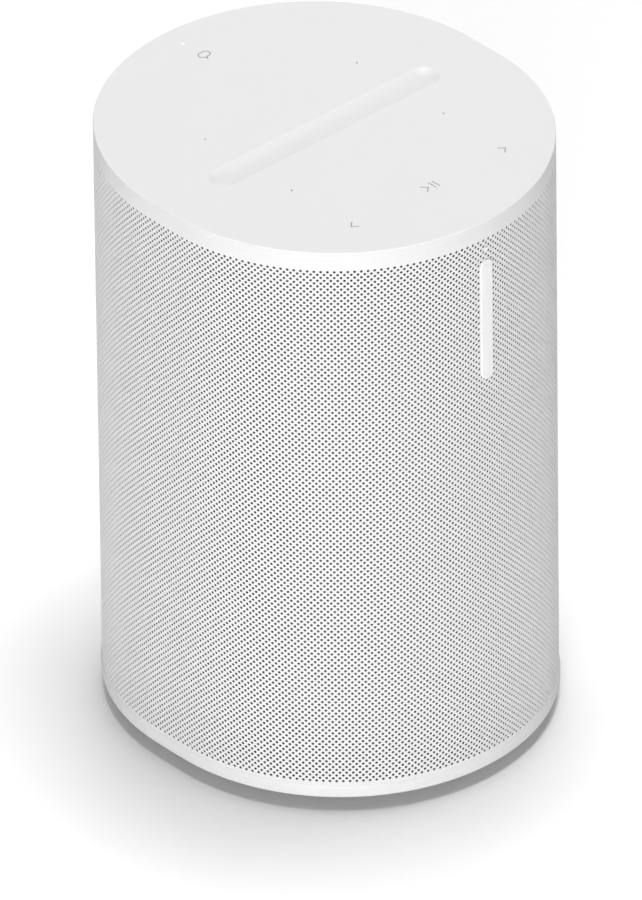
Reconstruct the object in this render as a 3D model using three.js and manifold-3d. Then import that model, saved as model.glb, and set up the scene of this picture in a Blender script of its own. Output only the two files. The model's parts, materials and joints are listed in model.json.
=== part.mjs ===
// Compact smart speaker: an upright tube of oval section with a perforated outer shell, a flat touch top,
// a plain base ring above a recessed foot, one front woofer, two tweeters angled left and right,
// electronics behind the acoustic chamber, and a narrow control panel at the rear. Millimetres.
// +Z is up, the front faces -Y, and the origin is on the supporting surface under the middle of the body.
import * as THREE from 'three';
import { mergeVertices } from 'three/addons/utils/BufferGeometryUtils.js';
import Module from 'manifold-3d';

const wasm = await Module();
wasm.setup();

// ---------------------------------------------------------------- driving dimensions
const WIDTH = 120;
const DEPTH = 130.5;
const HEIGHT = 182.5;
const RELIEF = 0.4; // how far the badge and the rear button stand out of the shell
const SIDE_RADIUS = 400; // the nearly flat left and right sides of the oval
const GAP = 0.3; // clearance between neighbouring pieces

const LIP_HEIGHT = 4; // the lower edge of the base's ring above the surface
const RING_RELIEF = 0.35; // how far that ring stands out of the shell
const RING_TOP = LIP_HEIGHT + 4.2;
const SHELL_WALL = 1.8;
const COVER_PLATE = 2.5;
const CLOTH_WALL = 0.5;
const SHEET = 2.5; // wall of the acoustic chamber
const BOARD = 1.6; // circuit board thickness

const SHELL_TOP = HEIGHT - COVER_PLATE - GAP;
const COVER_BOTTOM = HEIGHT - COVER_PLATE;
const SKIRT_INSET = SHELL_WALL + GAP;
const SKIRT_DEPTH = 4.5;

// Oval section: end arcs about (0, +-END_CENTRE) and side arcs about (+-SIDE_CENTRE, 0), all tangent.
const HALF_WIDTH = WIDTH / 2 - RING_RELIEF;
const HALF_DEPTH = DEPTH / 2 - RELIEF;
const SIDE_CENTRE = SIDE_RADIUS - HALF_WIDTH;
const END_CENTRE = (SIDE_CENTRE ** 2 - (SIDE_RADIUS - HALF_DEPTH) ** 2) / (2 * (SIDE_RADIUS - HALF_DEPTH));
const END_RADIUS = HALF_DEPTH - END_CENTRE;
const END_STEPS = 24;
const SIDE_STEPS = 2;
const ROUND_STEPS = 24; // round parts such as magnets and rings
const SMALL_STEPS = 12; // screws, pins and small holes

// Volume groove in the touch cover
const GROOVE_HALF_LENGTH = 41.3;
const GROOVE_HALF_WIDTH = 4.5;
const GROOVE_DEPTH = 1.2;

// Microphones, top light and status light
const MIC_X = 28;
const MIC_Y = 17.5;
const MIC_HOLE_RADIUS = 0.5;
const MIC_CAN = [3.5, 2.6, 1];
const TOP_LIGHT_Y = 57.4;
const TOP_LIGHT_RADIUS = 0.75;
const STATUS_LIGHT_Z = HEIGHT - 9.2;
const STATUS_LIGHT_RADIUS = 0.6;

// Badge on the front
const BADGE_HALF_WIDTH = 2.2;
const BADGE_TOP = HEIGHT - 12.5;
const BADGE_BOTTOM = HEIGHT - 51;

// Rear control panel
const PANEL_HALF_WIDTH = 13;
const PANEL_BOTTOM = 62;
const PANEL_TOP = 150;
const PANEL_WALL = 2.2;
const BUTTON_Z = 136;
const BUTTON_RADIUS = 5.2;
const BUTTON_TRAVEL = 0.8;
const SWITCH_Z = 111;
const SWITCH_TRAVEL = 3;
const SWITCH_HALF_WIDTH = 2;
const SWITCH_HALF_HEIGHT = 3;
const SWITCH_PLATE_MARGIN = 1.5;
const SWITCH_PLATE_FRONT = 59.4;
const SWITCH_PLATE_REAR = 60.8;
const USB_Z = 84;
const USB_HALF_WIDTH = 4.4;
const USB_HALF_HEIGHT = 1.6;
const USB_SHEET = 0.35;

// Mains inlet at the lower rear
const INLET_HALF_WIDTH = 10.5;
const INLET_BOTTOM = 8.6;
const INLET_TOP = 22.6;
const INLET_REAR = 60.5;
const INLET_FRONT = 42;
const INLET_Z = (INLET_BOTTOM + INLET_TOP) / 2;
const SOCKET_DEPTH = 12;
const SOCKET_RADIUS = 4.4; // each of the two round lobes
const SOCKET_NECK = 2.6; // half the height of the neck between them
const PIN_X = 4.3;
const PIN_RADIUS = 1.2;

// Acoustic chamber
const CHAMBER_INSET = 5;
const CHAMBER_BOTTOM = 9;
const CHAMBER_TOP = 133;
const BAFFLE_FRONT = -33;
const CHAMBER_REAR = 24;

// Woofer. Depths run rearwards from the baffle's front face.
const WOOFER_Z = 71;
const WOOFER_RADIUS = 46.5;
const WOOFER_HOLE = 40.5;
const FLANGE_FRONT = -3.4;
const FLANGE_REAR = -1.4;
const GASKET_INNER = 41.2;
const BASKET_NECK = 27;
const BASKET_REAR = 22;
const BASKET_SHEET = 2;
const BASKET_WINDOWS = 6;
const WOOFER_SCREW_CIRCLE = 44;
const WOOFER_SCREW_HEAD = 2.4;
const WOOFER_SCREW_SHANK = 1.3;
const SURROUND_INNER = 33.4;
const SURROUND_OUTER = 39.8;
const SURROUND_EDGE = 41.6;
const SURROUND_DEPTH = -4.2;
const SURROUND_SKIN = 0.6;
const CONE_RIM = 33;
const CONE_FRONT = -4.4;
const CONE_NECK = 12.8;
const CONE_REAR = 12.2;
const CONE_WALL = 1.2;
const CAP_RADIUS = 12.2;
const CAP_FRONT = 4.2;
const CAP_RIM = 9.4;
const CAP_SKIN = 0.7;
const COIL_INNER = 11.7;
const COIL_RADIUS = 12.2;
const COIL_WINDING = 12.7;
const COIL_FRONT = 10.6;
const COIL_REAR = 31;
const COIL_FORMER_REAR = 21.6;
const SPIDER_INNER = 13.4;
const SPIDER_OUTER = 24;
const SPIDER_DEPTH = 17;
const SPIDER_RIPPLE = 0.7;
const SPIDER_SKIN = 0.4;
const SPIDER_WAVES = 3;
const POLE_RADIUS = 11.2;
const MOTOR_RADIUS = 27.5;
const MAGNET_RADIUS = 30;
const MAGNET_HOLE = 17;
const TOP_PLATE_HOLE = 13.2;
const MAGNET_FRONT = 27.3;
const MAGNET_REAR = 39.3;
const POLE_REAR = 44.6;

// Tweeters, each turned about the upright axis. Reaches are distances from that axis.
const TWEETER_TURN = Math.PI / 4;
const TWEETER_Z = 153;
const TWEETER_RADIUS = 19;
const WAVEGUIDE_FRONT = 50;
const WAVEGUIDE_BACK = 42;
const WAVEGUIDE_MOUTH = 17.6;
const WAVEGUIDE_THROAT = 12.9;
const DOME_RADIUS = 12;
const DOME_RISE = 4;
const DOME_SKIN = 0.5;
const DOME_BASE = 42.6;
const FORMER_BACK = 37.6;
const TWEETER_MAGNET_RADIUS = 14.6;
const TWEETER_MAGNET_FRONT = 41.7;
const TWEETER_BACK = 27;
const TWEETER_GAP_INNER = 11;
const TWEETER_GAP_OUTER = 12.6;
const TWEETER_GAP_DEPTH = 5;
const HOUSING_BOTTOM = CHAMBER_TOP + GAP;
const HOUSING_TOP = 172.5;

// Boards that stand side by side behind the chamber, the main one over the power supply's
const BOARD_FRONT = 33;
const BOARD_FACE = BOARD_FRONT + BOARD;
const BOARD_HALF_WIDTH = 36;
const MAIN_BOARD_BOTTOM = 86;
const MAIN_BOARD_TOP = 166;
const POWER_BOARD_BOTTOM = 12;
const POWER_BOARD_TOP = 82;
const CHIP_HALF = 6;
const CHIP_Z = 106;
const CHIP_THICKNESS = 1.6;
const SINK_HALF_WIDTH = 14;
const SINK_BOTTOM = 90;
const SINK_TOP = 124;
const SINK_REAR = 49;
const SINK_PLATE = 2.5;
const SINK_FINS = 7;
const SINK_FIN = 1.2;
const SHIELD_HALF_WIDTH = 14;
const SHIELD_BOTTOM = 130;
const SHIELD_TOP = 152;
const SHIELD_HEIGHT = 3;
const CABLE_X = -22;
const CABLE_HALF_WIDTH = 5;
const CABLE_HALF_THICKNESS = 0.2;
const LEAD_RADIUS = 1.1;
const ANTENNA_X = 48;
const ANTENNA_THICKNESS = 0.8;
const ANTENNA_FRONT = 8;
const ANTENNA_REAR = 28;
const ANTENNA_BOTTOM = 140;
const ANTENNA_TOP = 168;
const TRANSFORMER_LEFT = 4;
const TRANSFORMER_RIGHT = 28;
const TRANSFORMER_BOTTOM = 40;
const TRANSFORMER_TOP = 62;
const TRANSFORMER_HEIGHT = 17;
const CAPACITOR_X = -20;
const CAPACITOR_Z = 50;
const CAPACITOR_RADIUS = 8;
const CAPACITOR_LENGTH = 16;

// Control board and the contact under the button
const CONTROL_BOARD_Y = 54;
const CONTROL_FACE = CONTROL_BOARD_Y + BOARD;
const CONTROL_BOARD_HALF_WIDTH = 9;
const CONTROL_BOARD_BOTTOM = 76;
const CONTROL_BOARD_TOP = 146;
const CONTACT_HALF = 3;

// Base
const BASE_BOTTOM = 4.8;
const BASE_TOP = 7.6;
const FOOT_OUTER_INSET = 6;
const FOOT_INNER_INSET = 16;
const BASE_SCREW_X = 30;
const BASE_SCREW_Y = [-22, 14];
const BASE_HEAD_HOLE = 3.3;
const BASE_SHANK_HOLE = 1.7;
const BASE_SCREW_HEAD = 3;
const BASE_SCREW_SHANK = 1.4;
const BASE_SCREW_LENGTH = 11.5;

// ---------------------------------------------------------------- shape helpers

// Points of an arc from one angle to another, without its last point.
function arcPoints(x, y, radius, from, to, steps) {
  const points = [];
  for (let i = 0; i < steps; i += 1) {
    const angle = from + ((to - from) * i) / steps;
    points.push(new THREE.Vector2(x + radius * Math.cos(angle), y + radius * Math.sin(angle)));
  }
  return points;
}

// The body's oval, moved inwards everywhere by the same distance.
function ovalPoints(inset) {
  const join = Math.atan2(END_CENTRE, SIDE_CENTRE);
  const end = END_RADIUS - inset;
  const side = SIDE_RADIUS - inset;
  return [
    ...arcPoints(-SIDE_CENTRE, 0, side, -join, join, SIDE_STEPS),
    ...arcPoints(0, END_CENTRE, end, join, Math.PI - join, END_STEPS),
    ...arcPoints(SIDE_CENTRE, 0, side, Math.PI - join, Math.PI + join, SIDE_STEPS),
    ...arcPoints(0, -END_CENTRE, end, Math.PI + join, 2 * Math.PI - join, END_STEPS),
  ];
}

// How far back the body's oval reaches at a distance x from its middle plane.
function ovalRear(x, inset) {
  return END_CENTRE + Math.sqrt((END_RADIUS - inset) ** 2 - x ** 2);
}

// A pill outline between two heights, with round ends.
function pillShape(halfWidth, low, high, steps = SMALL_STEPS) {
  return new THREE.Shape([
    ...arcPoints(0, high - halfWidth, halfWidth, 0, Math.PI, steps),
    new THREE.Vector2(-halfWidth, high - halfWidth),
    ...arcPoints(0, low + halfWidth, halfWidth, Math.PI, 2 * Math.PI, steps),
    new THREE.Vector2(halfWidth, low + halfWidth),
  ]);
}

// An upright prism between two heights.
function upright(shape, low, high) {
  const geometry = new THREE.ExtrudeGeometry(shape, { depth: high - low, bevelEnabled: false });
  return geometry.translate(0, 0, low);
}

// A prism along Y. The shape's own Y is the height.
function alongY(shape, front, rear) {
  const geometry = new THREE.ExtrudeGeometry(shape, { depth: rear - front, bevelEnabled: false });
  return geometry.rotateX(Math.PI / 2).translate(0, rear, 0);
}

function ovalPrism(inset, low, high) {
  return upright(new THREE.Shape(ovalPoints(inset)), low, high);
}

function ovalTube(outerInset, innerInset, low, high) {
  const shape = new THREE.Shape(ovalPoints(outerInset));
  shape.holes.push(new THREE.Path(ovalPoints(innerInset)));
  return upright(shape, low, high);
}

// A box from its low and high corners.
function block(low, high) {
  const size = low.map((value, axis) => high[axis] - value);
  const middle = low.map((value, axis) => (high[axis] + value) / 2);
  return new THREE.BoxGeometry(...size).translate(...middle);
}

function rodAlongY(radius, front, rear, x, z, steps = SMALL_STEPS) {
  const geometry = new THREE.CylinderGeometry(radius, radius, rear - front, steps);
  return geometry.translate(x, (front + rear) / 2, z);
}

function rodAlongZ(radius, low, high, x, y, steps = SMALL_STEPS) {
  const geometry = new THREE.CylinderGeometry(radius, radius, high - low, steps);
  return geometry.rotateX(Math.PI / 2).translate(x, y, (low + high) / 2);
}

// A turned part about the Y axis from a closed list of [radius, y] points.
function turned(profile, steps = ROUND_STEPS) {
  const points = profile.map(([radius, y]) => new THREE.Vector2(radius, y));
  if (THREE.ShapeUtils.area(points) < 0) points.reverse();
  const start = points.findIndex((point, i) => point.x === 0 && points.at(i - 1).x === 0);
  if (start > 0) points.push(...points.splice(0, start));
  if (start < 0) points.push(points[0].clone());
  return new THREE.LatheGeometry(points, steps);
}

// Closed triangle mesh with shared corners and no zero-area triangles.
function welded(geometry) {
  const bare = geometry.clone();
  bare.deleteAttribute('normal');
  bare.deleteAttribute('uv');
  const merged = mergeVertices(bare, 1e-4);
  const corners = merged.index.array;
  const kept = [];
  for (let i = 0; i < corners.length; i += 3) {
    const [a, b, c] = corners.slice(i, i + 3);
    if (a !== b && b !== c && c !== a) kept.push(a, b, c);
  }
  merged.setIndex(kept);
  return merged;
}

function toSolid(geometry) {
  const merged = welded(geometry);
  return new wasm.Manifold(new wasm.Mesh({
    numProp: 3,
    vertProperties: new Float32Array(merged.attributes.position.array),
    triVerts: new Uint32Array(merged.index.array),
  }));
}

function toGeometry(solid) {
  const mesh = solid.getMesh();
  const geometry = new THREE.BufferGeometry();
  geometry.setAttribute('position', new THREE.BufferAttribute(new Float32Array(mesh.vertProperties), 3));
  geometry.setIndex(new THREE.BufferAttribute(new Uint32Array(mesh.triVerts), 1));
  geometry.computeVertexNormals();
  return geometry;
}

function cut(geometry, ...cutters) {
  return toGeometry(cutters.reduce((solid, cutter) => solid.subtract(toSolid(cutter)), toSolid(geometry)));
}

function join(geometry, ...others) {
  return toGeometry(others.reduce((solid, other) => solid.add(toSolid(other)), toSolid(geometry)));
}

function common(geometry, other) {
  return toGeometry(toSolid(geometry).intersect(toSolid(other)));
}

// ---------------------------------------------------------------- materials

function material(color, roughness, metalness = 0) {
  return new THREE.MeshStandardMaterial({ color, roughness, metalness });
}

const materials = {
  shell: material(0xf2f2f0, 0.55),
  cover: material(0xebebea, 0.5),
  cloth: material(0x1b1b1c, 0.95),
  light: material(0xffffff, 0.3),
  chamber: material(0x2b2c2e, 0.6),
  rubber: material(0x3a3a3c, 0.9),
  paper: material(0x232325, 0.85),
  steel: material(0xb9bcc0, 0.35, 1),
  ferrite: material(0x3c3d40, 0.7),
  copper: material(0xb8713a, 0.35, 1),
  silk: material(0x4a4a4e, 0.8),
  fibre: material(0xc29b5a, 0.9),
  board: material(0x1f5a3a, 0.5),
  chip: material(0x161618, 0.4),
  aluminium: material(0xc8cbce, 0.4, 1),
  winding: material(0xd8b24a, 0.6),
  sleeve: material(0x25406b, 0.35),
  socket: material(0x17181a, 0.5),
  brass: material(0xc9a552, 0.35, 1),
  control: material(0xe9e9e7, 0.5),
};

const speaker = new THREE.Group();

function add(name, geometry, look, parent = speaker) {
  const mesh = new THREE.Mesh(geometry, materials[look]);
  mesh.name = name;
  parent.add(mesh);
  return mesh;
}

// ---------------------------------------------------------------- outer shell and cloth

// The window for the control panel and the notch for the mains plug, as cutters through the rear wall.
function panelWindow(margin) {
  const shape = pillShape(PANEL_HALF_WIDTH + margin, PANEL_BOTTOM - margin, PANEL_TOP + margin);
  return alongY(shape, HALF_DEPTH / 2, DEPTH);
}

function inletNotch(margin) {
  const half = INLET_HALF_WIDTH + margin;
  return block([-half, HALF_DEPTH / 2, 0], [half, DEPTH, INLET_TOP + margin]);
}

function statusHole(margin) {
  return rodAlongY(STATUS_LIGHT_RADIUS + margin, -DEPTH, -HALF_DEPTH / 2, 0, STATUS_LIGHT_Z);
}

function outerShell() {
  const tube = ovalTube(0, SHELL_WALL, RING_TOP + GAP, SHELL_TOP);
  return cut(tube, panelWindow(GAP), inletNotch(GAP), statusHole(GAP));
}

function acousticCloth() {
  const outer = SHELL_WALL + GAP;
  const tube = ovalTube(outer, outer + CLOTH_WALL, BASE_TOP + GAP, COVER_BOTTOM - SKIRT_DEPTH - 0.5);
  return cut(tube, panelWindow(GAP), inletNotch(GAP), statusHole(GAP));
}

function badge() {
  const plate = alongY(pillShape(BADGE_HALF_WIDTH, BADGE_BOTTOM, BADGE_TOP), -DEPTH, -HALF_DEPTH / 2);
  const skin = ovalTube(-RELIEF, -0.02, BADGE_BOTTOM - 1, BADGE_TOP + 1);
  return common(plate, skin);
}

add('grille_shell', outerShell(), 'shell');
add('acoustic_cloth', acousticCloth(), 'cloth');
add('front_badge', badge(), 'light');
add('status_light_pipe', rodAlongY(STATUS_LIGHT_RADIUS, -HALF_DEPTH, -50, 0, STATUS_LIGHT_Z), 'light');

// ---------------------------------------------------------------- top cover and touch board

const MIC_PLACES = [
  [-MIC_X, -MIC_Y],
  [MIC_X, -MIC_Y],
  [-MIC_X, MIC_Y],
  [MIC_X, MIC_Y],
];

// The groove is the mark of a long capsule pressed slightly into the plate.
function volumeGroove() {
  const radius = (GROOVE_HALF_WIDTH ** 2 + GROOVE_DEPTH ** 2) / (2 * GROOVE_DEPTH);
  const straight = 2 * (GROOVE_HALF_LENGTH - GROOVE_HALF_WIDTH);
  const capsule = new THREE.CapsuleGeometry(radius, straight, 8, 36);
  return capsule.rotateZ(Math.PI / 2).translate(0, 0, HEIGHT - GROOVE_DEPTH + radius);
}

function micHoles(low, high) {
  return MIC_PLACES.map(([x, y]) => rodAlongZ(MIC_HOLE_RADIUS, low, high, x, y, 8));
}

function topCover() {
  const plate = ovalPrism(0, COVER_BOTTOM, HEIGHT);
  const skirtLow = COVER_BOTTOM - SKIRT_DEPTH;
  const skirt = ovalTube(SKIRT_INSET, SKIRT_INSET + SHELL_WALL, skirtLow, COVER_BOTTOM + 0.5);
  const window = rodAlongZ(TOP_LIGHT_RADIUS + GAP, COVER_BOTTOM - 1, HEIGHT + 1, 0, TOP_LIGHT_Y);
  return cut(join(plate, skirt), volumeGroove(), window, ...micHoles(COVER_BOTTOM - 1, HEIGHT + 1));
}

const TOUCH_BOARD_TOP = COVER_BOTTOM - 0.4;
const TOUCH_BOARD_BOTTOM = TOUCH_BOARD_TOP - BOARD;

function touchBoard() {
  const board = ovalPrism(CHAMBER_INSET, TOUCH_BOARD_BOTTOM, TOUCH_BOARD_TOP);
  return cut(board, ...micHoles(TOUCH_BOARD_BOTTOM - 1, TOUCH_BOARD_TOP + 1));
}

add('top_cover', topCover(), 'cover');
add('touch_board', touchBoard(), 'board');
const lightLow = TOUCH_BOARD_TOP + GAP;
add('top_light_window', rodAlongZ(TOP_LIGHT_RADIUS, lightLow, HEIGHT, 0, TOP_LIGHT_Y), 'light');

const MIC_NAMES = ['front_left', 'front_right', 'rear_left', 'rear_right'];
MIC_PLACES.forEach(([x, y], i) => {
  const top = TOUCH_BOARD_BOTTOM - 0.1;
  const [wide, deep, high] = MIC_CAN;
  const can = block([x - wide / 2, y - deep / 2, top - high], [x + wide / 2, y + deep / 2, top]);
  add(`microphone_${MIC_NAMES[i]}`, can, 'steel');
});

// ---------------------------------------------------------------- acoustic chamber

// The part of an upright prism that lies between two depths.
function between(geometry, front, rear) {
  return common(geometry, block([-WIDTH, front, -HEIGHT], [WIDTH, rear, 2 * HEIGHT]));
}

const WOOFER_SCREWS = [45, 135, 225, 315].map((degrees) => {
  const angle = THREE.MathUtils.degToRad(degrees);
  return [WOOFER_SCREW_CIRCLE * Math.cos(angle), WOOFER_Z + WOOFER_SCREW_CIRCLE * Math.sin(angle)];
});

const BASE_SCREWS = [];
for (const y of BASE_SCREW_Y) BASE_SCREWS.push([-BASE_SCREW_X, y], [BASE_SCREW_X, y]);

function wooferScrewHoles(radius, front, rear) {
  return WOOFER_SCREWS.map(([x, z]) => rodAlongY(radius, front, rear, x, z, 10));
}

function baseScrewHoles(radius, low, high) {
  return BASE_SCREWS.map(([x, y]) => rodAlongZ(radius, low, high, x, y, 10));
}

function chamberTub() {
  const outside = between(ovalPrism(CHAMBER_INSET, CHAMBER_BOTTOM, CHAMBER_TOP), BAFFLE_FRONT, CHAMBER_REAR);
  const hollow = between(
    ovalPrism(CHAMBER_INSET + SHEET, CHAMBER_BOTTOM + SHEET, CHAMBER_TOP - SHEET),
    BAFFLE_FRONT + SHEET,
    CHAMBER_REAR + 1,
  );
  const bosses = BASE_SCREWS.map(([x, y]) => rodAlongZ(4, BASE_TOP + GAP, CHAMBER_BOTTOM + 1, x, y, 12));
  const mouth = rodAlongY(WOOFER_HOLE, BAFFLE_FRONT - 1, BAFFLE_FRONT + SHEET + 1, 0, WOOFER_Z, ROUND_STEPS);
  return cut(
    join(outside, ...bosses),
    hollow,
    mouth,
    ...wooferScrewHoles(1.6, BAFFLE_FRONT - 1, BAFFLE_FRONT + SHEET + 1),
    ...baseScrewHoles(BASE_SHANK_HOLE, 0, CHAMBER_BOTTOM + SHEET + 1),
  );
}

function chamberLid() {
  const front = CHAMBER_REAR + GAP;
  return between(ovalPrism(CHAMBER_INSET, CHAMBER_BOTTOM, CHAMBER_TOP), front, front + SHEET);
}

add('chamber_tub', chamberTub(), 'chamber');
add('chamber_lid', chamberLid(), 'chamber');

// ---------------------------------------------------------------- woofer

// Woofer parts turn about a line along Y through the middle of the baffle's opening.
const woofer = new THREE.Group();
woofer.position.set(0, BAFFLE_FRONT, WOOFER_Z);
speaker.add(woofer);

function atWoofer(geometry) {
  return geometry.translate(0, -BAFFLE_FRONT, -WOOFER_Z);
}

function wooferHoles() {
  const radius = WOOFER_SCREW_SHANK + 0.4;
  return wooferScrewHoles(radius, BAFFLE_FRONT - 6, BAFFLE_FRONT + 1).map(atWoofer);
}

function wooferBasket() {
  const neck = BASKET_NECK - BASKET_SHEET;
  const basket = turned([
    [WOOFER_HOLE, FLANGE_FRONT],
    [WOOFER_RADIUS, FLANGE_FRONT],
    [WOOFER_RADIUS, FLANGE_REAR],
    [WOOFER_HOLE - GAP, FLANGE_REAR],
    [BASKET_NECK, BASKET_REAR - 3],
    [BASKET_NECK, BASKET_REAR],
    [MOTOR_RADIUS / 2, BASKET_REAR],
    [MOTOR_RADIUS / 2, BASKET_REAR - BASKET_SHEET],
    [neck, BASKET_REAR - BASKET_SHEET],
    [neck, BASKET_REAR - BASKET_SHEET - 1.6],
    [WOOFER_HOLE - BASKET_SHEET, FLANGE_FRONT + 0.8],
  ]);
  const windows = [];
  for (let i = 0; i < BASKET_WINDOWS; i += 1) {
    const turn = ((i + 0.5) * 2 * Math.PI) / BASKET_WINDOWS;
    windows.push(block([neck + 0.5, 2, -7.5], [WOOFER_HOLE + 4, 16, 7.5]).rotateY(turn));
  }
  return cut(basket, ...windows, ...wooferHoles());
}

function wooferGasket() {
  const front = FLANGE_REAR + GAP;
  const ring = turned([
    [GASKET_INNER, front],
    [WOOFER_RADIUS, front],
    [WOOFER_RADIUS, -GAP],
    [GASKET_INNER, -GAP],
  ]);
  return cut(ring, ...wooferHoles());
}

// Half-roll surround between the cone's rim and the basket's flange.
function wooferSurround() {
  const middle = (SURROUND_INNER + SURROUND_OUTER) / 2;
  const roll = (SURROUND_OUTER - SURROUND_INNER) / 2;
  const back = SURROUND_DEPTH + 0.5;
  const steps = 4;
  const profile = [];
  for (let i = 0; i <= steps; i += 1) {
    const angle = Math.PI * (1 - i / steps);
    profile.push([middle + roll * Math.cos(angle), SURROUND_DEPTH - roll * Math.sin(angle)]);
  }
  profile.push([SURROUND_EDGE, SURROUND_DEPTH], [SURROUND_EDGE, back]);
  profile.push([SURROUND_OUTER - SURROUND_SKIN, back]);
  const inside = roll - SURROUND_SKIN;
  for (let i = 1; i < steps; i += 1) {
    const angle = (Math.PI * i) / steps;
    profile.push([middle + inside * Math.cos(angle), SURROUND_DEPTH + GAP - inside * Math.sin(angle)]);
  }
  profile.push([SURROUND_INNER, back]);
  return turned(profile);
}

function wooferCone() {
  return turned([
    [CONE_RIM - 1.4, CONE_FRONT],
    [CONE_RIM, CONE_FRONT],
    [CONE_RIM, CONE_FRONT + 0.8],
    [CONE_NECK + CONE_WALL, CONE_REAR],
    [CONE_NECK, CONE_REAR],
    [CONE_NECK, CONE_REAR - CONE_WALL],
  ]);
}

// Shallow dome over the coil, hollowed towards the rear.
function dustCap() {
  const steps = 4;
  const front = [];
  const rear = [];
  for (let i = 0; i <= steps; i += 1) {
    const share = i / steps;
    const depth = CAP_FRONT + (CAP_RIM - CAP_FRONT) * share ** 2;
    front.push([CAP_RADIUS * share, depth]);
    rear.unshift([(CAP_RADIUS - 0.4) * share, depth + CAP_SKIN]);
  }
  return turned([...front, ...rear]);
}

function voiceCoil() {
  return turned([
    [COIL_INNER, COIL_FRONT],
    [COIL_RADIUS, COIL_FRONT],
    [COIL_RADIUS, COIL_FORMER_REAR],
    [COIL_WINDING, COIL_FORMER_REAR],
    [COIL_WINDING, COIL_REAR],
    [COIL_INNER, COIL_REAR],
  ]);
}

function wooferSpider() {
  const steps = 2 * SPIDER_WAVES;
  const front = [];
  const rear = [];
  for (let i = 0; i <= steps; i += 1) {
    const radius = SPIDER_INNER + ((SPIDER_OUTER - SPIDER_INNER) * i) / steps;
    const y = SPIDER_DEPTH + (i % 2 ? SPIDER_RIPPLE : -SPIDER_RIPPLE);
    front.push([radius, y]);
    rear.unshift([radius, y + SPIDER_SKIN]);
  }
  return turned([...front, ...rear]);
}

// A flat ring between two radii and two depths.
function ring(inner, outer, front, rear) {
  return turned([[inner, front], [outer, front], [outer, rear], [inner, rear]]);
}

function polePiece() {
  const plate = MAGNET_REAR + GAP;
  return turned([
    [0, BASKET_REAR],
    [POLE_RADIUS, BASKET_REAR],
    [POLE_RADIUS, plate],
    [MOTOR_RADIUS, plate],
    [MOTOR_RADIUS, POLE_REAR],
    [0, POLE_REAR],
  ]);
}

add('woofer_basket', wooferBasket(), 'chamber', woofer);
add('woofer_gasket', wooferGasket(), 'rubber', woofer);
add('woofer_surround', wooferSurround(), 'rubber', woofer);
add('woofer_cone', wooferCone(), 'paper', woofer);
add('woofer_dust_cap', dustCap(), 'paper', woofer);
add('woofer_voice_coil', voiceCoil(), 'copper', woofer);
add('woofer_spider', wooferSpider(), 'fibre', woofer);
const topPlate = ring(TOP_PLATE_HOLE, MOTOR_RADIUS, BASKET_REAR + GAP, MAGNET_FRONT - GAP);
add('woofer_top_plate', topPlate, 'steel', woofer);
add('woofer_magnet', ring(MAGNET_HOLE, MAGNET_RADIUS, MAGNET_FRONT, MAGNET_REAR), 'ferrite', woofer);
add('woofer_pole_piece', polePiece(), 'steel', woofer);

// A pan-head screw along Y with its head at the front.
function screwAlongY(headFront, headRear, tip, headRadius, shankRadius) {
  return turned([
    [0, headFront],
    [headRadius * 0.7, headFront],
    [headRadius, headFront + 0.6],
    [headRadius, headRear],
    [shankRadius, headRear],
    [shankRadius, tip - 1],
    [0, tip],
  ], SMALL_STEPS);
}

WOOFER_SCREWS.forEach(([x, z], i) => {
  const seat = FLANGE_FRONT - GAP;
  const shape = screwAlongY(seat - 1.7, seat, seat + 9.7, WOOFER_SCREW_HEAD, WOOFER_SCREW_SHANK);
  add(`woofer_screw_${i + 1}`, shape, 'steel').position.set(x, BAFFLE_FRONT, z);
});

// ---------------------------------------------------------------- tweeters

function tweeterBore(turn) {
  const bore = (radius, reach) => {
    return rodAlongY(radius + GAP, -DEPTH, GAP - reach, 0, TWEETER_Z, ROUND_STEPS);
  };
  const wide = bore(TWEETER_RADIUS, WAVEGUIDE_BACK);
  const narrow = bore(TWEETER_MAGNET_RADIUS, TWEETER_BACK);
  return join(wide, narrow).rotateZ(turn);
}

function tweeterHousing() {
  const body = between(ovalPrism(CHAMBER_INSET + 2, HOUSING_BOTTOM, HOUSING_TOP), -DEPTH, 6);
  return cut(body, tweeterBore(TWEETER_TURN), tweeterBore(-TWEETER_TURN));
}

function tweeterWaveguide() {
  const flare = WAVEGUIDE_MOUTH - WAVEGUIDE_THROAT;
  const depth = 0.75 * (WAVEGUIDE_FRONT - WAVEGUIDE_BACK);
  const steps = 4;
  const horn = [];
  for (let i = 0; i <= steps; i += 1) {
    const angle = (Math.PI / 2) * (i / steps);
    const reach = WAVEGUIDE_FRONT - depth * (1 - Math.sin(angle));
    horn.push([WAVEGUIDE_THROAT + flare * (1 - Math.cos(angle)), -reach]);
  }
  return turned([
    [TWEETER_RADIUS, -WAVEGUIDE_FRONT],
    [TWEETER_RADIUS, -WAVEGUIDE_BACK],
    [WAVEGUIDE_THROAT, -WAVEGUIDE_BACK],
    ...horn,
  ]);
}

// Shallow dome with the coil former that carries it.
function tweeterDome() {
  const steps = 4;
  const inner = DOME_RADIUS - DOME_SKIN;
  const front = [];
  const rear = [];
  for (let i = 0; i <= steps; i += 1) {
    const share = i / steps;
    const reach = DOME_BASE + DOME_RISE * (1 - share ** 2);
    front.push([DOME_RADIUS * share, -reach]);
    rear.unshift([inner * share, DOME_SKIN - reach]);
  }
  return turned([...front, [DOME_RADIUS, -FORMER_BACK], [inner, -FORMER_BACK], ...rear]);
}

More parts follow.
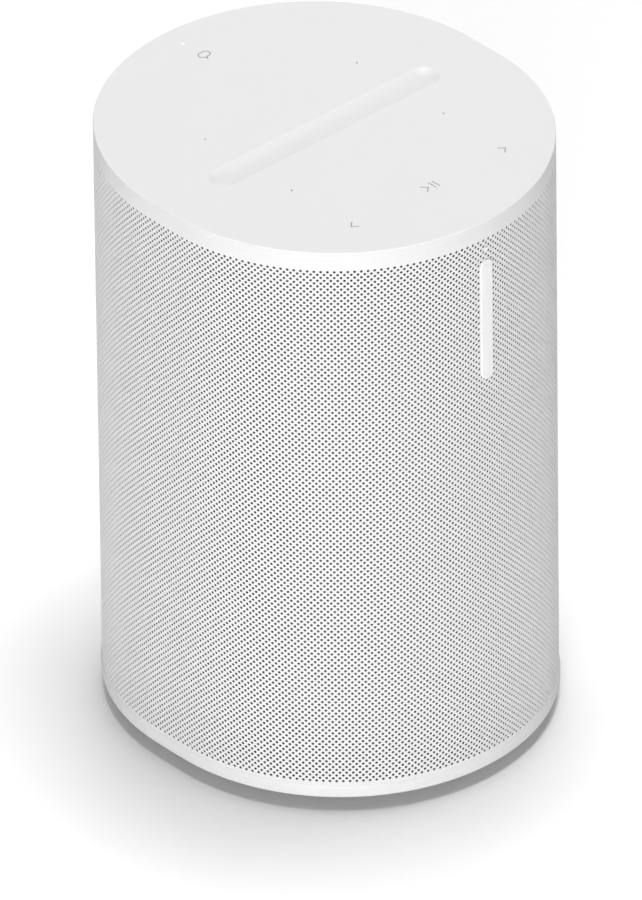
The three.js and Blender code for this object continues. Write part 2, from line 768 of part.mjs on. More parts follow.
// Cup magnet with the ring-shaped slit that the coil former moves in.
function tweeterMagnet() {
  const slit = TWEETER_MAGNET_FRONT - TWEETER_GAP_DEPTH - 0.5;
  return turned([
    [0, 0.5 - TWEETER_MAGNET_FRONT],
    [TWEETER_GAP_INNER, 0.5 - TWEETER_MAGNET_FRONT],
    [TWEETER_GAP_INNER, -slit],
    [TWEETER_GAP_OUTER, -slit],
    [TWEETER_GAP_OUTER, -TWEETER_MAGNET_FRONT],
    [TWEETER_MAGNET_RADIUS, -TWEETER_MAGNET_FRONT],
    [TWEETER_MAGNET_RADIUS, -TWEETER_BACK],
    [0, -TWEETER_BACK],
  ]);
}

add('tweeter_housing', tweeterHousing(), 'chamber');
for (const [side, turn] of [['left', -TWEETER_TURN], ['right', TWEETER_TURN]]) {
  const tweeter = new THREE.Group();
  tweeter.rotation.z = turn;
  tweeter.position.z = TWEETER_Z;
  speaker.add(tweeter);
  add(`tweeter_${side}_waveguide`, tweeterWaveguide(), 'chamber', tweeter);
  add(`tweeter_${side}_dome`, tweeterDome(), 'silk', tweeter);
  add(`tweeter_${side}_magnet`, tweeterMagnet(), 'steel', tweeter);
}

// ---------------------------------------------------------------- electronics

function uprightBoard(low, high) {
  return block([-BOARD_HALF_WIDTH, BOARD_FRONT, low], [BOARD_HALF_WIDTH, BOARD_FACE, high]);
}

// Plate on the amplifier chip with upright fins towards the rear.
function heatSink() {
  const front = BOARD_FACE + CHIP_THICKNESS + GAP;
  const root = front + SINK_PLATE;
  const plate = block([-SINK_HALF_WIDTH, front, SINK_BOTTOM], [SINK_HALF_WIDTH, root, SINK_TOP]);
  const pitch = (2 * SINK_HALF_WIDTH - SINK_FIN) / (SINK_FINS - 1);
  const fins = [];
  for (let i = 0; i < SINK_FINS; i += 1) {
    const x = -SINK_HALF_WIDTH + i * pitch;
    fins.push(block([x, root - 0.4, SINK_BOTTOM], [x + SINK_FIN, SINK_REAR, SINK_TOP]));
  }
  return join(plate, ...fins);
}

// Flat cable from the touch board down to the front of the main board.
function flatCable() {
  const strip = new THREE.Shape([
    new THREE.Vector2(-CABLE_HALF_WIDTH, -CABLE_HALF_THICKNESS),
    new THREE.Vector2(CABLE_HALF_WIDTH, -CABLE_HALF_THICKNESS),
    new THREE.Vector2(CABLE_HALF_WIDTH, CABLE_HALF_THICKNESS),
    new THREE.Vector2(-CABLE_HALF_WIDTH, CABLE_HALF_THICKNESS),
  ]);
  const route = new THREE.CatmullRomCurve3([
    new THREE.Vector3(CABLE_X, 22, TOUCH_BOARD_BOTTOM - GAP),
    new THREE.Vector3(CABLE_X, 22.5, 170),
    new THREE.Vector3(CABLE_X, 27, 163),
    new THREE.Vector3(CABLE_X, 31.4, 156),
    new THREE.Vector3(CABLE_X, 32.2, 148),
  ]);
  return new THREE.ExtrudeGeometry(strip, { steps: 12, bevelEnabled: false, extrudePath: route });
}

// Twin lead from the woofer's terminal to the chamber's lid.
function wooferLead() {
  const section = new THREE.Shape(arcPoints(0, 0, LEAD_RADIUS, 0, 2 * Math.PI, 8));
  const route = new THREE.CatmullRomCurve3([
    new THREE.Vector3(0, -20, 106),
    new THREE.Vector3(2, -10, 110),
    new THREE.Vector3(4, 8, 109),
    new THREE.Vector3(4, 23.8, 104),
  ]);
  return new THREE.ExtrudeGeometry(section, { steps: 12, bevelEnabled: false, extrudePath: route });
}

// A block that stands on the rear face of the boards.
function onBoard(left, right, low, high, height) {
  return block([left, BOARD_FACE, low], [right, BOARD_FACE + height, high]);
}

const chip = onBoard(-CHIP_HALF, CHIP_HALF, CHIP_Z - CHIP_HALF, CHIP_Z + CHIP_HALF, CHIP_THICKNESS);
const shield = onBoard(-SHIELD_HALF_WIDTH, SHIELD_HALF_WIDTH, SHIELD_BOTTOM, SHIELD_TOP, SHIELD_HEIGHT);
add('main_board', uprightBoard(MAIN_BOARD_BOTTOM, MAIN_BOARD_TOP), 'board');
add('amplifier_chip', chip, 'chip');
add('heat_sink', heatSink(), 'aluminium');
add('processor_shield', shield, 'steel');
add('touch_flat_cable', flatCable(), 'fibre');
add('woofer_lead', wooferLead(), 'rubber');

for (const [side, sign] of [['left', -1], ['right', 1]]) {
  const half = ANTENNA_THICKNESS / 2;
  const strip = block([-half, ANTENNA_FRONT, ANTENNA_BOTTOM], [half, ANTENNA_REAR, ANTENNA_TOP]);
  add(`wifi_antenna_${side}`, strip.translate(sign * ANTENNA_X, 0, 0), 'board');
}

const transformer = onBoard(
  TRANSFORMER_LEFT,
  TRANSFORMER_RIGHT,
  TRANSFORMER_BOTTOM,
  TRANSFORMER_TOP,
  TRANSFORMER_HEIGHT,
);
const canEnd = BOARD_FACE + CAPACITOR_LENGTH;
const capacitor = rodAlongY(CAPACITOR_RADIUS, BOARD_FACE, canEnd, CAPACITOR_X, CAPACITOR_Z, ROUND_STEPS);
add('power_supply_board', uprightBoard(POWER_BOARD_BOTTOM, POWER_BOARD_TOP), 'board');
add('transformer', transformer, 'winding');
add('bulk_capacitor', capacitor, 'sleeve');

// ---------------------------------------------------------------- mains inlet

// Two-pole appliance inlet: a block with a figure-of-eight socket that opens to the rear.
function inletSocket() {
  const body = block(
    [-INLET_HALF_WIDTH, INLET_FRONT, INLET_BOTTOM],
    [INLET_HALF_WIDTH, INLET_REAR, INLET_TOP],
  );
  const floor = INLET_REAR - SOCKET_DEPTH;
  const sides = [-PIN_X, PIN_X];
  const mouth = INLET_REAR + 1;
  const lobes = sides.map((x) => rodAlongY(SOCKET_RADIUS, floor, mouth, x, INLET_Z, 20));
  const bridge = block([-PIN_X, floor, INLET_Z - SOCKET_NECK], [PIN_X, mouth, INLET_Z + SOCKET_NECK]);
  const pinHoles = sides.map((x) => rodAlongY(PIN_RADIUS + GAP, INLET_FRONT - 1, INLET_REAR, x, INLET_Z));
  return cut(body, ...lobes, bridge, ...pinHoles);
}

add('power_inlet', inletSocket(), 'socket');
for (const [side, x] of [['left', -PIN_X], ['right', PIN_X]]) {
  const pin = rodAlongY(PIN_RADIUS, INLET_FRONT - 6, INLET_REAR - 3, x, INLET_Z, SMALL_STEPS);
  add(`inlet_pin_${side}`, pin, 'brass');
}

// ---------------------------------------------------------------- rear control panel

function usbShape(margin) {
  const half = USB_HALF_WIDTH + margin;
  const high = USB_HALF_HEIGHT + margin;
  return new THREE.Shape([
    ...arcPoints(half - high, USB_Z, high, -Math.PI / 2, Math.PI / 2, 8),
    new THREE.Vector2(half - high, USB_Z + high),
    ...arcPoints(high - half, USB_Z, high, Math.PI / 2, (3 * Math.PI) / 2, 8),
    new THREE.Vector2(high - half, USB_Z - high),
  ]);
}

function switchSlot() {
  const low = SWITCH_Z - SWITCH_HALF_HEIGHT - GAP;
  const high = SWITCH_Z + SWITCH_HALF_HEIGHT + SWITCH_TRAVEL + GAP;
  return alongY(pillShape(SWITCH_HALF_WIDTH + GAP, low, high, 8), HALF_DEPTH / 2, DEPTH);
}

function controlPanel() {
  const skin = ovalTube(0, PANEL_WALL, PANEL_BOTTOM - 1, PANEL_TOP + 1);
  return cut(
    common(skin, panelWindow(0)),
    rodAlongY(BUTTON_RADIUS + GAP, HALF_DEPTH / 2, DEPTH, 0, BUTTON_Z, ROUND_STEPS),
    switchSlot(),
    alongY(usbShape(GAP), HALF_DEPTH / 2, DEPTH),
  );
}

const BUTTON_COLLAR = 1.2;
const BUTTON_CHAMFER = 0.4;
const BUTTON_SEAT = ovalRear(BUTTON_RADIUS, PANEL_WALL) - GAP - BUTTON_CHAMFER;
const BUTTON_BACK = BUTTON_SEAT - BUTTON_COLLAR;

// Button cap with a wider collar that keeps it behind the panel.
function wirelessButton() {
  const collar = BUTTON_RADIUS + 1;
  const face = DEPTH / 2;
  return turned([
    [0, BUTTON_BACK],
    [collar, BUTTON_BACK],
    [collar, BUTTON_SEAT],
    [BUTTON_RADIUS, BUTTON_SEAT],
    [BUTTON_RADIUS, face - BUTTON_CHAMFER],
    [BUTTON_RADIUS - BUTTON_CHAMFER, face],
    [0, face],
  ]).translate(0, 0, BUTTON_Z);
}

// Small knob on a plate that slides behind the panel.
function micSwitch() {
  const high = SWITCH_HALF_HEIGHT;
  const knob = pillShape(SWITCH_HALF_WIDTH, SWITCH_Z - high, SWITCH_Z + high, 8);
  const wide = SWITCH_HALF_WIDTH + SWITCH_PLATE_MARGIN;
  const tall = high + SWITCH_PLATE_MARGIN + 1;
  const plate = block(
    [-wide, SWITCH_PLATE_FRONT, SWITCH_Z - tall],
    [wide, SWITCH_PLATE_REAR, SWITCH_Z + tall],
  );
  return join(alongY(knob, SWITCH_PLATE_FRONT + 0.6, HALF_DEPTH - 0.5), plate);
}

function usbSocket() {
  const shell = alongY(usbShape(0), CONTROL_FACE + 0.2, HALF_DEPTH - 0.6);
  const mouth = alongY(usbShape(-USB_SHEET), CONTROL_FACE + 2.5, HALF_DEPTH);
  const reach = USB_HALF_WIDTH - 1.3;
  const tongue = block(
    [-reach, CONTROL_FACE + 2, USB_Z - USB_SHEET],
    [reach, HALF_DEPTH - 1.4, USB_Z + USB_SHEET],
  );
  return join(cut(shell, mouth), tongue);
}

add('control_panel', controlPanel(), 'shell');
add('wireless_button', wirelessButton(), 'control');
add('microphone_switch', micSwitch(), 'control');
add('usb_socket', usbSocket(), 'steel');
const controlBoard = block(
  [-CONTROL_BOARD_HALF_WIDTH, CONTROL_BOARD_Y, CONTROL_BOARD_BOTTOM],
  [CONTROL_BOARD_HALF_WIDTH, CONTROL_FACE, CONTROL_BOARD_TOP],
);
const contactTop = BUTTON_BACK - BUTTON_TRAVEL - 0.2;
const contact = block(
  [-CONTACT_HALF, CONTROL_FACE, BUTTON_Z - CONTACT_HALF],
  [CONTACT_HALF, contactTop, BUTTON_Z + CONTACT_HALF],
);
add('control_board', controlBoard, 'board');
add('button_contact', contact, 'chip');

// ---------------------------------------------------------------- base

// A plate with a raised ring round it, whose outside is seen under the shell.
function basePlate() {
  const plate = ovalPrism(SHELL_WALL - 0.5, BASE_BOTTOM, BASE_TOP);
  const rim = ovalTube(-RING_RELIEF, SHELL_WALL, LIP_HEIGHT, RING_TOP);
  const heads = baseScrewHoles(BASE_HEAD_HOLE, 0, BASE_BOTTOM + 1.9);
  const shanks = baseScrewHoles(BASE_SHANK_HOLE, 0, BASE_TOP + 1);
  return cut(join(plate, rim), ...heads, ...shanks);
}

add('base_plate', basePlate(), 'cover');
add('foot_ring', ovalTube(FOOT_OUTER_INSET, FOOT_INNER_INSET, 0, BASE_BOTTOM - 0.1), 'rubber');

BASE_SCREWS.forEach(([x, y], i) => {
  const shape = screwAlongY(0, 1.5, BASE_SCREW_LENGTH, BASE_SCREW_HEAD, BASE_SCREW_SHANK);
  shape.rotateX(Math.PI / 2);
  add(`base_screw_${i + 1}`, shape.translate(x, y, BASE_BOTTOM + 0.2), 'steel');
});

export default speaker;
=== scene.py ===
import json
import math

import bpy
import numpy as np
from mathutils import Matrix, Vector
from mathutils.geometry import delaunay_2d_cdt


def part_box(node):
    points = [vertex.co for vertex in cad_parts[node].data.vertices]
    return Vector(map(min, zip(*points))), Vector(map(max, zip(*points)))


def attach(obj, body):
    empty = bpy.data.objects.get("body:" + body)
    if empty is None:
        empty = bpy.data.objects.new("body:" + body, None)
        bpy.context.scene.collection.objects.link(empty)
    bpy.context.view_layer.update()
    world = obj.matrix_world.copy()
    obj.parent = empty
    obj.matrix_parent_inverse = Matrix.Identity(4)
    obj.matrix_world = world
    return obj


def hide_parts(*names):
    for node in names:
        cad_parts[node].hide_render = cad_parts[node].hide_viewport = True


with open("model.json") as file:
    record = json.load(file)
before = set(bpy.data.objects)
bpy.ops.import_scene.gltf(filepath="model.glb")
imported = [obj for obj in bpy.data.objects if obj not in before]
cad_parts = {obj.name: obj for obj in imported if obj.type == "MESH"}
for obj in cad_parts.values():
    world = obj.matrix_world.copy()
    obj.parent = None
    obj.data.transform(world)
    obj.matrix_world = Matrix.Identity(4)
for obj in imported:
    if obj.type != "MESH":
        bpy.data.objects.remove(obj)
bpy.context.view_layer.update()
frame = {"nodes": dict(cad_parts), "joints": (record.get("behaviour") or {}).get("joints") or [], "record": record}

MM = 0.001

# ---------------------------------------------------------------- sizes, in millimetres


def box(node):
    """Lowest and highest corner of a CAD node."""
    return [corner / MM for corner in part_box(node)]


SHELL_LOW, SHELL_HIGH = box("grille_shell")
COVER_LOW, COVER_HIGH = box("top_cover")
PANEL_LOW, PANEL_HIGH = box("control_panel")
BUTTON_LOW, BUTTON_HIGH = box("wireless_button")
SWITCH_LOW, SWITCH_HIGH = box("microphone_switch")
USB_LOW, USB_HIGH = box("usb_socket")
INLET_HIGH = box("power_inlet")[1]
BADGE_LOW, BADGE_HIGH = box("front_badge")
STATUS_LOW, STATUS_HIGH = box("status_light_pipe")
LIGHT_LOW, LIGHT_HIGH = box("top_light_window")
BASE_LOW, BASE_HIGH = box("base_plate")
BASE_SCREWS = [sum(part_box(f"base_screw_{i}"), Vector()).xy / 2 / MM for i in range(1, 5)]
TOP = COVER_HIGH.z

HALF_WIDTH = SHELL_HIGH.x
HALF_DEPTH = -SHELL_LOW.y
SIDE_RADIUS = 400.0
SIDE_CENTRE = SIDE_RADIUS - HALF_WIDTH
SIDE_REACH = SIDE_RADIUS - HALF_DEPTH
END_CENTRE = (SIDE_CENTRE**2 - SIDE_REACH**2) / (2 * SIDE_REACH)
END_RADIUS = HALF_DEPTH - END_CENTRE
JOIN = math.atan2(END_CENTRE, SIDE_CENTRE)
QUARTER = math.pi / 2
TINY = 1e-9

# The oval's outline, anticlockwise from the middle of the front: centre, radius, first and last angle.
ARCS = [
    ((0, -END_CENTRE), END_RADIUS, -QUARTER, -JOIN),
    ((-SIDE_CENTRE, 0), SIDE_RADIUS, -JOIN, JOIN),
    ((0, END_CENTRE), END_RADIUS, JOIN, math.pi - JOIN),
    ((SIDE_CENTRE, 0), SIDE_RADIUS, math.pi - JOIN, math.pi + JOIN),
    ((0, -END_CENTRE), END_RADIUS, math.pi + JOIN, 3 * QUARTER),
]
ROUND = sum(radius * (last - first) for _, radius, first, last in ARCS)

# The wrap: each row has a hole in every second half column, and the next row has its holes between them.
COLUMNS = 215
HALF_COLUMNS = 2 * COLUMNS
COLUMN_STEP = ROUND / HALF_COLUMNS
ROWS = 180
FIRST_ROW_Z = TOP - 6.1
LAST_ROW_Z = BASE_HIGH.z + 1.4
ROW_STEP = (FIRST_ROW_Z - LAST_ROW_Z) / (ROWS - 1)
HOLE_RADIUS = 0.4
HOLE_SIDES = 8
SECTIONS = 10
SECTION_COLUMNS = HALF_COLUMNS // SECTIONS
FIRST_COLUMN = -(SECTION_COLUMNS // 2)
REAR_SECTION = SECTIONS // 2
GRILLE_WALL = 0.2
PLAIN_MARGIN = 1.35
HAIRLINE = 0.005
LINER_OUTER = 0.55
LINER_INNER = 1.1

COVER_PLATE = 2.5
PLATE_BOTTOM = TOP - COVER_PLATE

PANEL_RADIUS = PANEL_HIGH.x
PANEL_MIDDLE = (PANEL_LOW.z + PANEL_HIGH.z) / 2
PANEL_STRAIGHT = (PANEL_HIGH.z - PANEL_LOW.z) / 2 - PANEL_RADIUS
WINDOW_GAP = 0.12
NOTCH_GAP = 0.3
NOTCH_CORNER = 1
CUT_NEAR = 40
CUT_FAR = 90
STATUS_RADIUS = (STATUS_HIGH.x - STATUS_LOW.x) / 2
STATUS_GAP = 0.02
STATUS_Z = (STATUS_LOW.z + STATUS_HIGH.z) / 2


# ---------------------------------------------------------------- shapes

SHARP = 35
UV_WIDTH = 0.48
UV_BACK = 0.51


def oval(along):
    """Points of the outline and their outward normals, by distance from the middle of the front."""
    along = np.mod(np.asarray(along, float), ROUND)
    point = np.zeros((len(along), 2))
    normal = np.zeros((len(along), 2))
    start = 0.0
    for centre, radius, first, last in ARCS:
        length = radius * (last - first)
        here = (along >= start - TINY) & (along <= start + length + TINY)
        angle = first + (along[here] - start) / radius
        normal[here] = np.column_stack((np.cos(angle), np.sin(angle)))
        point[here] = np.array(centre) + radius * normal[here]
        start += length
    return point, normal


def place(along, inset, height):
    """Points at a distance round the oval, a depth inside it and a height."""
    point, normal = oval(along)
    inset = np.broadcast_to(np.asarray(inset, float), len(point))
    height = np.broadcast_to(np.asarray(height, float), len(point))
    return np.column_stack((point - normal * inset[:, None], height))


def rear_along(across):
    """Distance round the outline of a point on the rear, from its distance to the right seen from behind."""
    return ROUND / 2 + END_RADIUS * np.arcsin(np.asarray(across, float) / END_RADIUS)


def flat_ring(outline, height):
    """A level ring of points over a flat outline."""
    return np.column_stack((outline, np.full(len(outline), height)))


def mesh_object(name, points, polygons, material, uvs=None, sharp=SHARP):
    """An object from points in millimetres and arrays of polygons. Edges over the sharp angle stay crisp."""
    mesh = bpy.data.meshes.new(name)
    polygons = [np.asarray(p, np.int32) for p in polygons if len(p)]
    corners = np.concatenate([p.ravel() for p in polygons])
    sizes = np.concatenate([np.full(len(p), p.shape[1]) for p in polygons])
    mesh.vertices.add(len(points))
    places = (np.asarray(points, float) * MM).astype(np.float32)
    mesh.vertices.foreach_set("co", places.ravel())
    mesh.loops.add(len(corners))
    mesh.loops.foreach_set("vertex_index", corners)
    mesh.polygons.add(len(sizes))
    starts = np.concatenate(([0], np.cumsum(sizes)[:-1]))
    mesh.polygons.foreach_set("loop_start", starts.astype(np.int32))
    if uvs is not None:
        layer = mesh.uv_layers.new(name="OFBake")
        layer.uv.foreach_set("vector", np.asarray(uvs, np.float32).ravel())
    mesh.update(calc_edges=True)
    mesh.validate()
    mesh.set_sharp_from_angle(angle=math.radians(sharp))
    mesh.materials.append(material)
    made = bpy.data.objects.new(name, mesh)
    bpy.context.scene.collection.objects.link(made)
    return made


def open_edges(polygons, count):
    """Edges that only one polygon uses, in that polygon's direction."""
    starts = np.concatenate([p.ravel() for p in polygons]).astype(np.int64)
    ends = np.concatenate([np.roll(p, -1, axis=1).ravel() for p in polygons]).astype(np.int64)
    alone = ~np.isin(starts * count + ends, ends * count + starts)
    return starts[alone], ends[alone]


def used_only(columns, polygons):
    """The same sheet without the points that no polygon uses."""
    used = np.unique(np.concatenate([p.ravel() for p in polygons]))
    return [c[used] for c in columns], [np.searchsorted(used, p) for p in polygons]


def solid_sheet(along, front, back, polygons):
    """A closed solid from a sheet round the oval, and its UVs. front and back hold inset and height."""
    polygons = [np.asarray(p) for p in polygons if len(p)]
    columns, polygons = used_only([along, *front, *back], polygons)
    along, front_inset, front_z, back_inset, back_z = columns
    count = len(along)
    points = np.vstack((place(along, front_inset, front_z), place(along, back_inset, back_z)))
    starts, ends = open_edges(polygons, count)
    walls = np.column_stack((ends, starts, starts + count, ends + count))
    behind = [p[:, ::-1] + count for p in polygons]
    reach = max(along.max() - along.min(), 1e-6)
    flat = np.column_stack(((along - along.min()) / reach * UV_WIDTH, front_z / TOP))
    uvs = np.vstack((flat, flat + (UV_BACK, 0)))
    wall_uvs = flat[np.column_stack((ends, starts, starts, ends))]
    wall_uvs[:, 2:, 0] += GRILLE_WALL / reach * UV_WIDTH
    loops = [uvs[p].reshape(-1, 2) for p in [*polygons, *behind]] + [wall_uvs.reshape(-1, 2)]
    return points, [*polygons, *behind, walls], np.vstack(loops)


def loft(rings, capped=False):
    """A skin over closed rings of equally many points. A capped one has a face at its first and last ring."""
    count = len(rings[0])
    points = np.vstack(rings)
    ahead = np.roll(np.arange(count), -1)
    here = np.arange(count)
    polygons = []
    for i in range(len(rings) - 1):
        low, high = i * count, (i + 1) * count
        polygons.append(np.column_stack((low + here, low + ahead, high + ahead, high + here)))
    if capped:
        polygons += [here[::-1][None, :], (here + (len(rings) - 1) * count)[None, :]]
    return points, polygons


def pill(half_x, half_y, radius, steps):
    """Outline of a pill, anticlockwise, whose end centres are half_x and half_y from its middle."""
    corners = [(half_x, half_y, 0), (-half_x, half_y, 1), (-half_x, -half_y, 2), (half_x, -half_y, 3)]
    found = []
    for x, y, quarter in corners:
        for i in range(steps + 1):
            angle = (quarter + i / steps) * QUARTER
            found.append((x + radius * math.cos(angle), y + radius * math.sin(angle)))
    clean = [found[0]]
    for p in found[1:]:
        if math.dist(p, clean[-1]) > 1e-6:
            clean.append(p)
    if math.dist(clean[0], clean[-1]) < 1e-6:
        clean.pop()
    return np.array(clean)


def filled(loops, inside, extra=()):
    """Triangles over the flat region where inside(x, y) holds: its outlines, and extra points in it."""
    points = np.vstack([*loops, extra]) if len(extra) else np.vstack(loops)
    edges = []
    start = 0
    for loop in loops:
        count = len(loop)
        edges += [(start + i, start + (i + 1) % count) for i in range(count)]
        start += count
    out = delaunay_2d_cdt([Vector(p) for p in points], edges, [], 0, 1e-7)
    origin = [first[0] if first else -1 for first in out[3]]
    assert min(origin) >= 0
    places = np.array([tuple(v) for v in out[0]])
    triangles = []
    for face in out[2]:
        centre = places[list(face)].mean(0)
        if inside(*centre):
            a, b, c = places[list(face)]
            turn = (b[0] - a[0]) * (c[1] - a[1]) - (b[1] - a[1]) * (c[0] - a[0])
            corner = [origin[v] for v in face]
            triangles.append(corner if turn > 0 else corner[::-1])
    return points, np.array(triangles, np.int64)


def pill_distance(x, y, centre, half_x, half_y):
    """Distance from a pill's spine."""
    dx = max(abs(x - centre[0]) - half_x, 0)
    dy = max(abs(y - centre[1]) - half_y, 0)
    return math.hypot(dx, dy)


# ---------------------------------------------------------------- materials


class Nodes:
    """A material's node tree, with a Principled shader and noise in the part's own coordinates."""

    def __init__(self, name):
        self.material = bpy.data.materials.new(name)
        self.material.use_nodes = True
        self.tree = self.material.node_tree
        self.shader = next(n for n in self.tree.nodes if n.type == "BSDF_PRINCIPLED")
        self.place = self.add("ShaderNodeTexCoord").outputs["Object"]

    def add(self, kind, **values):
        node = self.tree.nodes.new(kind)
        for name, value in values.items():
            setattr(node, name, value)
        return node

    def link(self, a, b):
        self.tree.links.new(a, b)

    def stretched(self, scale):
        node = self.add("ShaderNodeMapping")
        node.inputs["Scale"].default_value = scale
        self.link(self.place, node.inputs["Vector"])
        return node.outputs["Vector"]

    def noise(self, size, detail=2.0, vector=None):
        """Noise with features of about size millimetres."""
        node = self.add("ShaderNodeTexNoise")
        node.inputs["Scale"].default_value = 1 / (size * MM)
        node.inputs["Detail"].default_value = detail
        self.link(vector or self.place, node.inputs["Vector"])
        return node.outputs["Fac"]

    def waves(self, size, direction, profile="SIN"):
        """Parallel ridges, size millimetres apart, across the X, Y or Z axis."""
        node = self.add("ShaderNodeTexWave", bands_direction=direction, wave_profile=profile)
        node.inputs["Scale"].default_value = math.pi / 10 / (size * MM)
        self.link(self.place, node.inputs["Vector"])
        return node.outputs["Fac"]

    def maths(self, operation, a, b):
        node = self.add("ShaderNodeMath", operation=operation)
        for i, value in enumerate((a, b)):
            if isinstance(value, (int, float)):
                node.inputs[i].default_value = value
            else:
                self.link(value, node.inputs[i])
        return node.outputs["Value"]

    def span(self, value, low, high, from_low=0.0, from_high=1.0):
        node = self.add("ShaderNodeMapRange")
        node.inputs["From Min"].default_value = from_low
        node.inputs["From Max"].default_value = from_high
        node.inputs["To Min"].default_value = low
        node.inputs["To Max"].default_value = high
        self.link(value, node.inputs["Value"])
        return node.outputs["Result"]

    def blend(self, share, one, other):
        node = self.add("ShaderNodeMix", data_type="RGBA")
        self.link(share, node.inputs["Factor"])
        for name, value in (("A", one), ("B", other)):
            socket = next(s for s in node.inputs if s.name == name and s.type == "RGBA")
            if isinstance(value, tuple):
                socket.default_value = (*value, 1)
            else:
                self.link(value, socket)
        return next(s for s in node.outputs if s.type == "RGBA")

    def bump(self, height, depth, strength=1.0):
        """Relief depth millimetres high."""
        node = self.add("ShaderNodeBump")
        node.inputs["Strength"].default_value = strength
        node.inputs["Distance"].default_value = depth * MM
        self.link(height, node.inputs["Height"])
        self.link(node.outputs["Normal"], self.shader.inputs["Normal"])

    def colour(self, value):
        self.link(value, self.shader.inputs["Base Color"])

    def roughness(self, value):
        self.link(value, self.shader.inputs["Roughness"])

    def fixed(self, **values):
        for name, value in values.items():
            self.shader.inputs[name.replace("_", " ")].default_value = value


def scaled(colour, by):
    return tuple(min(1.0, c * by) for c in colour)


def moulded(name, colour, rough, grain=0.25, depth=0.006, mottle=9.0, change=0.015, **values):
    """Moulded plastic or rubber: a fine erosion grain, and slow changes of tone and gloss."""
    n = Nodes(name)
    slow = n.noise(mottle)
    fine = n.noise(grain, 3.0)
    n.colour(n.blend(slow, scaled(colour, 1 - change), scaled(colour, 1 + change)))
    n.roughness(n.span(n.noise(mottle / 3), rough - 0.05, rough + 0.05))
    n.bump(fine, depth)
    n.fixed(**values)
    return n.material


def brushed(name, colour, rough, along, metallic=1.0, change=0.06):
    """Metal with fine lines along one axis."""
    n = Nodes(name)
    scale = [6.0, 6.0, 6.0]
    scale["XYZ".index(along)] = 0.25
    lines = n.noise(1.0, 4.0, n.stretched(scale))
    n.colour(n.blend(lines, scaled(colour, 1 - change), scaled(colour, 1 + change)))
    n.roughness(n.span(lines, rough - 0.08, rough + 0.1))
    n.bump(lines, 0.004)
    n.fixed(Metallic=metallic)
    return n.material


def woven(name, colour, size, depth, rough=0.95, **values):
    """Cloth woven square, threads size millimetres apart."""
    n = Nodes(name)
    a = n.waves(size, "DIAGONAL")
    b = n.waves(size, "Z")
    threads = n.maths("MULTIPLY", a, b)
    n.colour(n.blend(threads, scaled(colour, 0.6), scaled(colour, 1.3)))
    n.roughness(n.span(n.noise(size * 4), rough - 0.05, min(1.0, rough + 0.05)))
    n.bump(threads, depth)
    n.fixed(**values)
    return n.material


def ridged(name, light, dark, size, axis, depth, rough, **values):
    """Windings, tape turns or extruded fins: bands size millimetres apart across one axis."""
    n = Nodes(name)
    bands = n.waves(size, axis)
    n.colour(n.blend(bands, dark, light))
    n.roughness(n.span(n.noise(3.0), rough - 0.05, rough + 0.05))
    n.bump(bands, depth)
    n.fixed(**values)
    return n.material


def fibrous(name, colour, rough, size=0.8, depth=0.03, change=0.25, **values):
    """Pressed paper or coated silk: tangled fibres."""
    n = Nodes(name)
    fibres = n.noise(size, 8.0, n.stretched((1.0, 1.0, 0.4)))
    n.colour(n.blend(fibres, scaled(colour, 1 - change), scaled(colour, 1 + change)))
    n.roughness(n.span(fibres, rough - 0.1, min(1.0, rough + 0.08)))
    n.bump(fibres, depth)
    n.fixed(**values)
    return n.material


def printed_board(name):
    """Solder mask over copper tracks, with small bare pads."""
    n = Nodes(name)
    mask = (0.010, 0.085, 0.040)
    over_track = (0.022, 0.15, 0.07)
    tin = (0.62, 0.60, 0.52)
    cells = n.add("ShaderNodeTexVoronoi", distance="MANHATTAN", feature="F1")
    cells.inputs["Scale"].default_value = 1 / (3.0 * MM)
    n.link(n.place, cells.inputs["Vector"])
    lines = n.waves(1.6, "X")
    track = n.span(n.maths("MULTIPLY", lines, n.noise(6.0)), 0, 1, 0.25, 0.35)
    pads = n.span(cells.outputs["Distance"], 1, 0, 0.16, 0.2)
    n.colour(n.blend(pads, n.blend(track, mask, over_track), tin))
    n.roughness(n.span(pads, 0.32, 0.45))
    n.bump(n.maths("ADD", track, pads), 0.03)
    return n.material


WHITE = (0.65, 0.65, 0.65)

